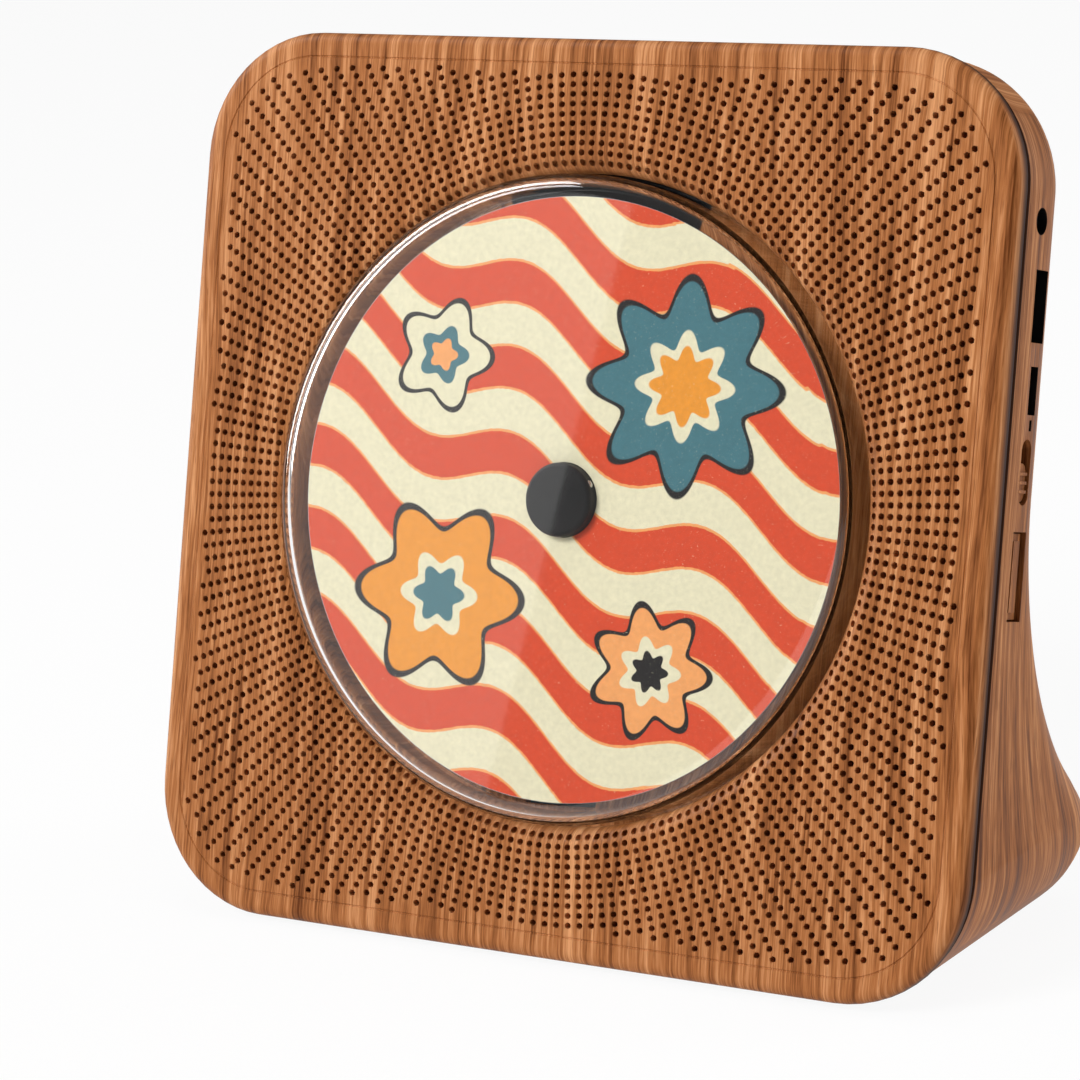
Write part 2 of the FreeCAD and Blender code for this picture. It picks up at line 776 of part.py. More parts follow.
def shell_form(inward):
    """Return the shell's whole form, moved inward by a wall."""
    reach = size("panel_width")
    edges, foot, slab_top = back_curve(inward)
    front = Vector(0, -reach, foot.z)
    high_front = Vector(0, -reach, slab_top.z)
    corners = [slab_top, high_front, front, foot]
    outline = edges + [Part.LineSegment(first, last).toShape() for first, last in zip(corners, corners[1:])]
    profile = Part.Face(Part.Wire(Part.__sortEdges__(outline)))
    profile.translate(Vector(-reach, 0, 0))
    side = profile.extrude(Vector(2 * reach, 0, 0))
    form = slab_block(inward, reach).common(foot_block(inward, reach)).common(side).Solids[0].removeSplitter()
    back = Part.Wire(edges)
    sharp = [edge for edge in form.Edges if is_back_edge(form, edge, back)]
    soft = form.makeFillet(size("back_round") - inward, sharp)
    room = Part.makeBox(2 * reach, 2 * reach, 2 * reach, Vector(-reach, -reach, size("foot_gap") + inward))
    return soft.common(room).Solids[0]


def is_back_edge(form, edge, back):
    """Tell whether an edge is a sharp one where the shell's back meets its sides."""
    middle = edge.valueAt((edge.FirstParameter + edge.LastParameter) / 2)
    if back.distToShape(Part.Vertex(Vector(0, middle.y, middle.z)))[0] > size("edge_match"):
        return False
    faces = form.ancestorsOfType(edge, Part.Face)
    normals = [face.normalAt(*face.Surface.parameter(middle)) for face in faces]
    return len(normals) == 2 and normals[0].dot(normals[1]) < EDGE_COSINE


def rear_shell():
    """Model the shell: hollow body with its foot, tongue, bosses and openings."""
    outer = solid("shell_outer", shell_form(0))
    inner = solid("shell_inner", shell_form(size("shell_wall")))
    hollow = cut("shell_hollow", outer, inner)
    inset = "panel_wall + tongue_gap"
    corner = size("panel_corner") - size("panel_wall") - size("tongue_gap")
    depth = "seam_gap + tongue_reach + shell_wall"
    low = "-panel_skirt - seam_gap - shell_wall"
    tongue_block = rounded_box("tongue_block", ("panel_width - 2 * (%s)" % inset,
                                                "panel_height - 2 * (%s)" % inset, depth), ("0", "0", low),
                                                corner)
    inset += " + tongue_wall"
    tongue_hole = rounded_box("tongue_hole", ("panel_width - 2 * (%s)" % inset,
                                              "panel_height - 2 * (%s)" % inset, depth + " + 2 * overrun"),
                              ("0", "0", low + " - overrun"), corner - size("tongue_wall"))
    tongue = on_deck(cut("tongue", tongue_block, tongue_hole))
    posts = []
    for x, y in CASE_BOSSES:
        posts.append(cylinder("shell_boss", "boss_radius + shell_wall / 2", "overall_depth",
                              (x, y, "-boss_split - boss_gap - overall_depth")))
    for x, y in board_screw_places():
        posts.append(cylinder("board_post", "board_post_radius", "overall_depth",
                              (x, y, "-board_front - board_thickness - overall_depth")))
    deck_posts = on_deck(fuse("deck_posts", *posts))
    cradle_posts = [cylinder("cradle_post", "cradle_post_radius",
                             "foot_gap + shell_wall + cradle_post_height",
                             (x, CELL_Y, "0")) for x in cradle_ear_places()]
    inside = common("posts_inside", outer, fuse("posts", deck_posts, *cradle_posts))
    bare = fuse("shell_bare", hollow, inside, tongue)
    tools = []
    for x, y in CASE_BOSSES:
        tools.append(cylinder("case_pass", "screw_shank + screw_gap", "overall_depth",
                              (x, y, "-boss_split + overrun - overall_depth")))
        tools.append(cylinder("case_recess", "screw_well", "overall_depth",
                              (x, y, "-screw_seat - overall_depth")))
    for x, y in board_screw_places():
        tools.append(cylinder("board_hole", "board_screw_shank + screw_gap", "board_screw_reach + overrun",
                              (x, y, "-board_front - board_thickness - board_screw_reach")))
    deck_tools = on_deck(fuse("shell_tools", *(tools + port_cutouts())))
    floor_tools = [cylinder("cradle_hole", "cradle_shank + screw_gap", "cradle_post_height + overrun",
                            (x, CELL_Y, "foot_gap + shell_wall")) for x in cradle_ear_places()]
    for x, y in foot_places():
        floor_tools.append(cylinder("foot_recess", "foot_radius + foot_clearance", "foot_gap + foot_sink",
                                    (x, y, "0")))
    node("rear_shell", cut("shell", bare, deck_tools, *floor_tools), deck=False)


def board_screw_places():
    """Return the places of the main board's screws."""
    across = (BOARD_LEFT + " + board_screw_inset_left", BOARD_RIGHT + " - board_screw_inset_right")
    along = (BOARD_LOW + " + board_screw_inset_low", BOARD_HIGH + " - board_screw_inset_high")
    return [(x, y) for x in across for y in along]


def cradle_ear_places():
    """Return where the battery cradle is screwed down, along x."""
    reach = "(cell_length / 2 + cell_clearance + cradle_wall + cradle_ear / 2)"
    return reach, "-" + reach


def foot_places():
    """Return the places of the rubber feet."""
    return [("%s(panel_width / 2 - foot_%s_inset_x)" % (sign, row),
             "%s(overall_depth / 2 - foot_%s_inset_y)" % (way, row))
            for row, way in (("front", "-"), ("rear", "")) for sign in ("", "-")]


def port_cutouts():
    """Return what the sockets, the switch and the key need cut from the right side."""
    wide = "overrun + panel_width / 2 - " + SOCKET_FRONT + " + shell_wall"
    from_x = SOCKET_FRONT + " - shell_wall"
    middle = "%s + (%s) / 2" % (from_x, wide)
    tools = [cylinder("aux_cut", "aux_collar + aux_collar_gap", wide, (from_x, AUX_Y, "-aux_depth"),
                      TURN_TO_X)]
    for port, height in (("usb", USB_Y), ("charge", CHARGE_Y)):
        tools.append(box(port + "_cut",
                         (wide, port + "_width + 2 * port_gap", port + "_height + 2 * port_gap"),
                         (middle, height, "-%s_depth - %s_height / 2 - port_gap" % (port, port))))
    tools.append(box("light_cut", (wide, "light_length + 2 * light_gap", "light_width + 2 * light_gap"),
                     (middle, LIGHT_Y, "-charge_depth - light_width / 2 - light_gap")))
    slot = "slider_length + slider_travel + 2 * slider_gap - slider_width"
    half = "slider_width / 2 + slider_gap"
    tools.append(box("slider_cut", (wide, slot, "2 * (%s)" % half),
                     (middle, SWITCH_Y, "-switch_depth - (%s)" % half)))
    for sign in ("-", "+"):
        tools.append(cylinder("slider_end", half, wide,
                              (from_x, SWITCH_Y + " %s (%s) / 2" % (sign, slot), "-switch_depth"), TURN_TO_X))
    tools.append(box("key_cut", (wide, "key_length + 2 * key_gap", "key_width + 2 * key_gap"),
                     (middle, KEY_Y, "-key_depth - key_width / 2 - key_gap")))
    return tools


def case_fasteners():
    """Model the case screws, the rubber feet and the grille cloth."""
    screws = []
    for x, y in CASE_BOSSES:
        shank = cylinder("case_shank", "screw_shank", "screw_seat - screw_tip", (x, y, "-screw_seat"))
        head = cylinder("case_head", "screw_head", "screw_head_height",
                        (x, y, "-screw_seat - screw_head_height"))
        screws.append(fuse("case_screw", shank, head))
    node("case_screws", *screws)
    feet = [cylinder("foot", "foot_radius", "foot_gap + foot_sink", (x, y, "0")) for x, y in foot_places()]
    node("rubber_feet", *feet, deck=False)
    inset = "panel_wall + tongue_gap + tongue_wall + cloth_gap"
    corner = sum(size(name) for name in ("panel_wall", "tongue_gap", "tongue_wall", "cloth_gap"))
    sheet_block = rounded_box("cloth_block",
                              ("panel_width - 2 * (%s)" % inset, "panel_height - 2 * (%s)" % inset,
                                              "cloth_thickness"), ("0", "0", CLOTH_LOW),
                                              size("panel_corner") - corner)
    height = "cloth_thickness + 2 * overrun"
    low = CLOTH_LOW + " - overrun"
    holes = [cylinder("cloth_window", WINDOW + " + lip_round + cloth_gap", height, ("0", "0", low))]
    for x, y in CASE_BOSSES:
        holes.append(cylinder("cloth_boss", "boss_radius + cloth_gap", height, (x, y, low)))
    for turn in EAR_TURNS:
        x, y = ear_place(turn)
        holes.append(cylinder("cloth_ear", "well_ear_radius + cloth_gap", height, (x, y, low)))
    for sign in ("", "-"):
        for x, y in clamp_places(sign):
            holes.append(cylinder("cloth_post", "clamp_post_radius + cloth_gap", height, (x, y, low)))
    node("grille_cloth", cut("cloth", sheet_block, *holes))


def disc_well():
    """Model the black floor of the disc well with its ears and posts, and its screws."""
    floor = cylinder("well_plate", WINDOW + " + lip_wall", "well_floor", ("0", "0", FLOOR_LOW))
    pieces = [floor]
    holes = [cylinder("well_centre", "well_hole", "well_floor + 2 * overrun",
                      ("0", "0", FLOOR_LOW + " - overrun"))]
    screws = []
    for turn in EAR_TURNS:
        x, y = ear_place(turn)
        pieces.append(cylinder("well_ear", "well_ear_radius", "well_floor", (x, y, FLOOR_LOW)))
        holes.append(cylinder("ear_hole", "well_screw_shank + screw_gap", "well_floor + 2 * overrun",
                              (x, y, FLOOR_LOW + " - overrun")))
        shank = cylinder("well_shank", "well_screw_shank", "well_floor + lip_depth - panel_plate - overrun",
                         (x, y, FLOOR_LOW))
        head = cylinder("well_head", "well_screw_head", "well_screw_head_height",
                        (x, y, FLOOR_LOW + " - well_screw_head_height"))
        screws.append(fuse("well_screw", shank, head))
    for x, y in post_places():
        drop = "chassis_gap - grommet_lip"
        pieces.append(cylinder("well_post", "post_radius", drop + " + well_floor / 2",
                               (x, y, FLOOR_LOW + " - (%s)" % drop)))
        holes.append(cylinder("post_hole", "mech_shank + screw_gap", drop + " + well_floor / 2 + overrun",
                              (x, y, FLOOR_LOW + " - (%s) - overrun" % drop)))
    start = "lens_start - holder_half_length - slot_margin"
    end = "disc_radius - lens_rim + holder_half_length + slot_margin"
    holes.append(box("lens_slot",
                     ("2 * slot_half_width", "(%s) - (%s)" % (end, start), "well_floor + 2 * overrun"),
                     ("0", "-((%s) + (%s)) / 2" % (end, start), FLOOR_LOW + " - overrun")))
    node("disc_well", cut("well", fuse("well_joined", *pieces), *holes))
    node("well_screws", *screws)


def post_places():
    """Return the places of the chassis mountings."""
    heights = ("post_top_y", "post_low_inset - disc_radius")
    return [(sign + "post_x", y) for y in heights for sign in ("", "-")]


def dust_cover():
    """Model the clear cover: a shallow cap with a rounded rim that stands in the window."""
    depth = "lip_depth - cover_seat_gap"
    whole = cylinder("cover_whole", COVER, "cover_proud + " + depth, ("0", "0", "-(%s)" % depth))
    soft = rounded("cover_soft", whole, size("cover_round"), at_height(size("cover_proud")))
    inside = cylinder("cover_room", COVER + " - cover_wall",
                      "cover_proud - cover_front + %s + overrun" % depth,
                      ("0", "0", "-(%s) - overrun" % depth))
    inner_round = size("cover_round") - size("cover_wall")
    room = rounded("cover_room_soft", inside, inner_round,
                   at_height(size("cover_proud") - size("cover_front")))
    node("dust_cover", cut("cover", soft, room))


def disc_and_hub():
    """Model the disc, the hub that carries it, the hub's balls and the motor shaft."""
    plate = ring("disc_plate", "disc_radius", "disc_hole", "disc_thickness", ("0", "0", DISC_LOW))
    bead = ring("disc_bead", "disc_ring_radius + disc_ring_width", "disc_ring_radius",
                "disc_ring_height + disc_thickness / 2", ("0", "0", DISC_LOW + " - disc_ring_height"))
    node("compact_disc", fuse("disc", plate, bead))
    boss_height = "hub_proud + disc_thickness"
    boss = cylinder("hub_boss", "disc_hole - hub_play", boss_height, ("0", "0", DISC_LOW))
    soft = rounded("hub_soft", boss, size("hub_round"),
                   at_height(size("hub_proud") - size("disc_drop")))
    flange = cylinder("hub_flange", "hub_flange_radius", "hub_flange", ("0", "0", DISC_LOW + " - hub_flange"))
    barrel = cylinder("hub_barrel", "hub_barrel_radius", "hub_barrel",
                      ("0", "0", DISC_LOW + " - hub_flange - hub_barrel"))
    bore_height = "hub_barrel + hub_flange + disc_thickness + hub_proud - shaft_cover"
    bore = cylinder("hub_bore", "shaft_radius + shaft_gap", bore_height + " + overrun",
                    ("0", "0", DISC_LOW + " - hub_flange - hub_barrel - overrun"))
    hub = cut("hub_bored", fuse("hub_joined", soft, flange, barrel), bore)
    balls = []
    for turn in BALL_TURNS:
        centre = ("ball_ring * cos(%d)" % turn, "ball_ring * sin(%d)" % turn, DISC_TOP + " + ball_lift")
        seam = Rotation(Vector(0, 0, 1), turn + 2 * RIGHT_ANGLE)
        balls.append(sphere("ball", "ball_radius", centre))
        hub = cut("hub_socketed", hub, sphere("ball_socket", "ball_radius + ball_gap", centre, seam))
    node("spindle_hub", hub)
    node("hub_balls", *balls)
    shaft_low = CHASSIS_LOW + " - motor_height"
    node("spindle_shaft", cylinder("shaft", "shaft_radius", "%s + hub_proud - shaft_cover - (%s) - shaft_gap"
                                   % (DISC_TOP, shaft_low), ("0", "0", shaft_low)))
    can = cylinder("motor_can", "motor_radius", "motor_height", ("0", "0", shaft_low))
    collar = cylinder("motor_collar", "motor_collar_radius", "motor_collar + chassis_plate",
                      ("0", "0", CHASSIS_LOW))
    bearing = cylinder("motor_bore", "shaft_radius + shaft_gap",
                       "motor_height + motor_collar + chassis_plate + 2 * overrun",
                       ("0", "0", shaft_low + " - overrun"))
    node("spindle_motor", cut("motor", fuse("motor_joined", can, collar), bearing))


def mechanism():
    """Model the chassis with its rods, rubber mountings and screws."""
    width = "2 * chassis_half_width"
    length = "chassis_top + " + CHASSIS_BOTTOM
    middle = "(chassis_top - " + CHASSIS_BOTTOM + ") / 2"
    plate = box("chassis_sheet", (width, length, "chassis_plate"), ("0", middle, CHASSIS_LOW))
    pieces = [plate]
    for sign in ("", "-"):
        pieces.append(box("chassis_flange", ("chassis_plate", length, "flange_height"),
                          (sign + "(chassis_half_width - chassis_plate / 2)", middle,
                           CHASSIS_LOW + " - flange_height")))
        for end in ("-opening_top + rod_holder_length / 2",
                    "-" + OPENING_BOTTOM + " - rod_holder_length / 2"):
            drop = "rod_drop + rod_radius + chassis_plate"
            pieces.append(box("rod_holder", ("2 * rod_holder_half_width", "rod_holder_length", drop),
                              (sign + "rod_x", end, CHASSIS_LOW + " - (%s)" % drop)))
    opening = OPENING_BOTTOM + " - opening_top"
    tools = [box("chassis_opening", ("2 * opening_half_width", opening, "chassis_plate + 2 * overrun"),
                 ("0", "-(" + OPENING_BOTTOM + " + opening_top) / 2", CHASSIS_LOW + " - overrun")),
             cylinder("motor_pass", "motor_collar_radius + rod_gap", "chassis_plate + 2 * overrun",
                      ("0", "0", CHASSIS_LOW + " - overrun")),
             cylinder("axle_seat", "axle_radius + shaft_gap", "chassis_plate + 2 * overrun",
                      (GEAR_X, "-gear_fall", CHASSIS_LOW + " - overrun")),
             cylinder("pinion_pass", "sled_motor_shaft * 2", "chassis_plate + 2 * overrun",
                      (SLED_MOTOR_X, SLED_MOTOR_Y, CHASSIS_LOW + " - overrun"))]
    rods = []
    rod_start = "-" + OPENING_BOTTOM + " - rod_holder_length"
    rod_length = OPENING_BOTTOM + " - opening_top + 2 * rod_holder_length"
    for sign in ("", "-"):
        rods.append(cylinder("rod", "rod_radius", rod_length, (sign + "rod_x", rod_start, ROD_LEVEL),
                             TURN_TO_Y))
        tools.append(cylinder("rod_hole", "rod_radius + shaft_gap", rod_length + " + 2 * overrun",
                              (sign + "rod_x", rod_start + " - overrun", ROD_LEVEL), TURN_TO_Y))
    grommets, screws = [], []
    for x, y in post_places():
        tools.append(cylinder("grommet_hole", "grommet_neck + grommet_gap", "chassis_plate + 2 * overrun",
                              (x, y, CHASSIS_LOW + " - overrun")))
        low = CHASSIS_LOW + " - grommet_lip"
        height = "chassis_plate + 2 * grommet_lip"
        body = cylinder("grommet_body", "grommet_radius", height, (x, y, low))
        neck = ring("grommet_groove", "grommet_radius + overrun", "grommet_neck", "chassis_plate",
                    (x, y, CHASSIS_LOW))
        bore = cylinder("grommet_bore", "grommet_bore", height + " + 2 * overrun", (x, y, low + " - overrun"))
        grommets.append(cut("grommet", body, neck, bore))
        shank = cylinder("mech_shank", "mech_shank", height + " + chassis_gap - grommet_lip", (x, y, low))
        head = cylinder("mech_head", "mech_head", "mech_head_height", (x, y, low + " - mech_head_height"))
        screws.append(fuse("mech_screw", shank, head))
    node("mech_chassis", cut("chassis", fuse("chassis_joined", *pieces), *tools))
    node("guide_rods", *rods)
    node("damper_grommets", *grommets)
    node("mech_screws", *screws)


def involute_gear(teeth, thickness):
    """Return a spur gear with thinned involute teeth, its middle on the z axis."""
    module = size("tooth_module")
    pitch = module * teeth / 2
    base = pitch * math.cos(math.radians(PRESSURE_ANGLE))
    tip = pitch + module
    root = pitch - module - size("tooth_play")
    at_pitch = math.sqrt((pitch / base) ** 2 - 1)
    half = math.pi / (2 * teeth) - size("tooth_play") / (2 * pitch) + at_pitch - math.atan(at_pitch)
    first = max(root, base)
    flank = []
    for step in range(FLANK_STEPS + 1):
        radius = first + (tip - first) * step / FLANK_STEPS
        roll = math.sqrt(max((radius / base) ** 2 - 1, 0))
        flank.append((radius, half - roll + math.atan(roll)))
    if root < base:
        flank.insert(0, (root, flank[0][1]))
    points = []
    for tooth in range(teeth):
        middle = 2 * math.pi * tooth / teeth
        for radius, turn in flank:
            points.append(Vector(radius * math.cos(middle - turn), radius * math.sin(middle - turn), 0))
        for radius, turn in reversed(flank):
            points.append(Vector(radius * math.cos(middle + turn), radius * math.sin(middle + turn), 0))
    face = Part.Face(Part.makePolygon(points + points[:1]))
    return face.extrude(Vector(0, 0, thickness))


def rack_bar(length, thickness):
    """Return a toothed rack along y: its pitch line at x of zero and its first tooth space at y of zero."""
    module = size("tooth_module")
    pitch = math.pi * module
    slope = math.tan(math.radians(PRESSURE_ANGLE))
    half = pitch / 4 - size("tooth_play") / 2
    back = -size("rack_pitch_line") + size("sled_half_width")
    root = -module - size("tooth_play")
    teeth = int(length / pitch)
    points = [Vector(back, 0, 0)]
    for tooth in range(teeth):
        middle = pitch * (tooth + 0.5)
        points.append(Vector(root, middle - half + root * slope, 0))
        points.append(Vector(module, middle - half + module * slope, 0))
        points.append(Vector(module, middle + half - module * slope, 0))
        points.append(Vector(root, middle + half - root * slope, 0))
    points.append(Vector(back, teeth * pitch, 0))
    face = Part.Face(Part.makePolygon(points + points[:1]))
    return face.extrude(Vector(0, 0, thickness))


PRESSURE_ANGLE = 20
FLANK_STEPS = 4
GEAR_X = "rack_pitch_line + tooth_module * gear_teeth / 2"
CENTRES = "tooth_module * (wheel_teeth + pinion_teeth) / 2"
SLED_MOTOR_X = "%s + %s * cos(sled_motor_turn)" % (GEAR_X, CENTRES)
SLED_MOTOR_Y = "-gear_fall + %s * sin(sled_motor_turn)" % CENTRES
WHEEL_LOW = CHASSIS_TOP + " + gear_lift"
RACK_TOP = SLED_TOP + " - rack_gap"


def pickup():
    """Model the pickup sled with its rack, lens holder and lens."""
    block = box("sled_block", ("2 * sled_half_width", "sled_length", "sled_height"),
                ("0", "-lens_start", SLED_TOP + " - sled_height"))
    bores = [cylinder("sled_bore", "rod_radius + rod_gap", "sled_length + 2 * overrun",
                      (sign + "rod_x", "-lens_start - sled_length / 2 - overrun", ROD_LEVEL), TURN_TO_Y)
             for sign in ("", "-")]
    node("pickup_sled", cut("sled", block, *bores))
    pitch = math.pi * size("tooth_module")
    length = size("rack_below") + size("rack_above")
    spaces_below = round((-size("gear_fall") + size("lens_start") + size("rack_below")) / pitch)
    rack = solid("rack", rack_bar(length, size("rack_thickness")))
    place(rack, "rack_pitch_line", "-gear_fall - %d * tooth_module * pi" % spaces_below,
          RACK_TOP + " - rack_thickness")
    node("sled_rack", rack)
    holder_low = SLED_TOP + " + holder_gap"
    lens_top = DISC_LOW + " - lens_distance"
    holder_height = "(%s) - lens_thickness / 2 - (%s)" % (lens_top, holder_low)
    holder = box("holder", ("2 * holder_half_width", "2 * holder_half_length", holder_height),
                 ("0", "-lens_start", holder_low))
    seat = cylinder("lens_seat", "lens_radius + shaft_gap", "lens_thickness",
                    ("0", "-lens_start", lens_top + " - lens_thickness"))
    node("lens_holder", cut("holder_cut", holder, seat))
    node("objective_lens", cylinder("lens", "lens_radius", "lens_thickness",
                                    ("0", "-lens_start", lens_top + " - lens_thickness")))


def sled_drive():
    """Model the gear train that moves the sled, and its motor."""
    wheel = solid("wheel", involute_gear(int(size("wheel_teeth")), size("wheel_thickness")))
    small_height = "(%s) - (%s) - wheel_thickness" % (RACK_TOP, WHEEL_LOW)
    place(wheel, GEAR_X, "-gear_fall", WHEEL_LOW)
    under_rack = size("chassis_gap") - size("sled_gap") - size("rack_gap")
    rise = under_rack - size("gear_lift") - size("wheel_thickness")
    small = solid("small_gear", involute_gear(int(size("gear_teeth")), rise))
    place(small, GEAR_X, "-gear_fall", WHEEL_LOW + " + wheel_thickness")
    bore = cylinder("gear_bore", "axle_radius + axle_gap",
                    "wheel_thickness + %s + 2 * overrun" % small_height,
                    (GEAR_X, "-gear_fall", WHEEL_LOW + " - overrun"))
    node("drive_gear", cut("gear", fuse("gear_joined", wheel, small), bore))
    node("gear_axle", cylinder("axle", "axle_radius", "(%s) - (%s)" % (RACK_TOP, CHASSIS_LOW),
                               (GEAR_X, "-gear_fall", CHASSIS_LOW)))
    pinion = solid("pinion",
                   involute_gear(int(size("pinion_teeth")), size("wheel_thickness") + size("gear_lift")))
    pinion.Placement = Placement(Vector(), Rotation(Vector(0, 0, 1), pinion_turn()))
    for axis, text in zip("xyz", (SLED_MOTOR_X, SLED_MOTOR_Y, WHEEL_LOW)):
        pinion.setExpression("Placement.Base." + axis, bound(text))
    hole = cylinder("pinion_bore", "sled_motor_shaft + shaft_gap",
                    "wheel_thickness + gear_lift + 2 * overrun",
                    (SLED_MOTOR_X, SLED_MOTOR_Y, WHEEL_LOW + " - overrun"))
    node("motor_pinion", cut("pinion_cut", pinion, hole))
    node("pinion_shaft", cylinder("pinion_rod", "sled_motor_shaft",
                                  "sled_motor_height + chassis_plate + 2 * gear_lift + wheel_thickness",
                                  (SLED_MOTOR_X, SLED_MOTOR_Y, CHASSIS_LOW + " - sled_motor_height")))
    can = cylinder("sled_can", "sled_motor_radius", "sled_motor_height",
                   (SLED_MOTOR_X, SLED_MOTOR_Y, CHASSIS_LOW + " - sled_motor_height"))
    bearing = cylinder("sled_bearing", "sled_motor_shaft + shaft_gap", "sled_motor_height + 2 * overrun",
                       (SLED_MOTOR_X, SLED_MOTOR_Y, CHASSIS_LOW + " - sled_motor_height - overrun"))
    node("sled_motor", cut("sled_motor_cut", can, bearing))


def pinion_turn():
    """Return the turn of the pinion that sets one of its spaces on a tooth of the wheel."""
    line = size("sled_motor_turn")
    wheel_step = 360 / size("wheel_teeth")
    past_tooth = line - wheel_step * round(line / wheel_step)
    rolled = past_tooth * size("wheel_teeth") / size("pinion_teeth")
    return line + 180 + rolled + 180 / size("pinion_teeth")


def speakers():
    """Model the two speakers: basket, surround, cone and magnet each, and their clamp screws."""
    screws = []
    for side, sign in SIDES:
        x, y = sign + SPEAKER_X, SPEAKER_Y
        low = CLOTH_LOW + " - speaker_flange"
        inner = "speaker_radius - 2 * speaker_wall"
        flange = ring("flange_" + side, "speaker_radius", inner, "speaker_flange", (x, y, low))
        basket = ring("basket_" + side, "speaker_radius - speaker_wall", inner,
                      "basket_depth + speaker_flange / 2",
                      (x, y, low + " - basket_depth"))
        floor = ring("basket_floor_" + side, "speaker_radius - speaker_wall",
                     "coil_radius + coil_wall + coil_groove", "basket_floor",
                     (x, y, low + " - basket_depth - basket_floor"))
        node("speaker_frame_" + side, fuse("frame_" + side, flange, basket, floor))
        rim_low = CLOTH_LOW + " - cone_sink"
        node("speaker_surround_" + side, ring("surround_" + side, inner, "cone_radius + surround_gap",
                                              "surround_thickness", (x, y, rim_low)))
        magnet_low = low + " - basket_depth - basket_floor - magnet_height"
        magnet = cylinder("magnet_" + side, "magnet_radius", "magnet_height", (x, y, magnet_low))
        groove = ring("coil_space_" + side, "coil_radius + coil_wall + coil_groove",
                      "coil_radius - coil_groove",
                      "coil_reach + 2 * coil_groove + cone_sink + overrun",
                      (x, y,
                       low + " - basket_depth - basket_floor - coil_reach - 2 * coil_groove - cone_sink"))
        node("speaker_magnet_" + side, cut("magnet_cut_" + side, magnet, groove))
        cone_low = rim_low + " - cone_depth"
        outside = cone("cone_out_" + side, "coil_radius + coil_wall", "cone_radius", "cone_depth",
                       (x, y, cone_low))
        hollow = cone("cone_in_" + side, "coil_radius + coil_wall", "cone_radius", "cone_depth",
                      (x, y, cone_low + " + cone_wall"))
        coil_low = low + " - basket_depth - basket_floor - coil_reach"
        coil = ring("coil_" + side, "coil_radius + coil_wall", "coil_radius",
                    "(%s) + cone_wall - (%s)" % (cone_low, coil_low),
                    (x, y, coil_low))
        node("speaker_cone_" + side, fuse("cone_joined_" + side, cut("cone_" + side, outside, hollow), coil))
        for post_x, post_y in clamp_places(sign):
            shank = cylinder("clamp_shank", "clamp_shank", "speaker_flange + cloth_thickness",
                             (post_x, post_y, low))
            head = cylinder("clamp_head", "clamp_head", "clamp_head_height",
                            (post_x, post_y, low + " - clamp_head_height"))
            screws.append(fuse("clamp_screw", shank, head))
    node("speaker_screws", *screws)


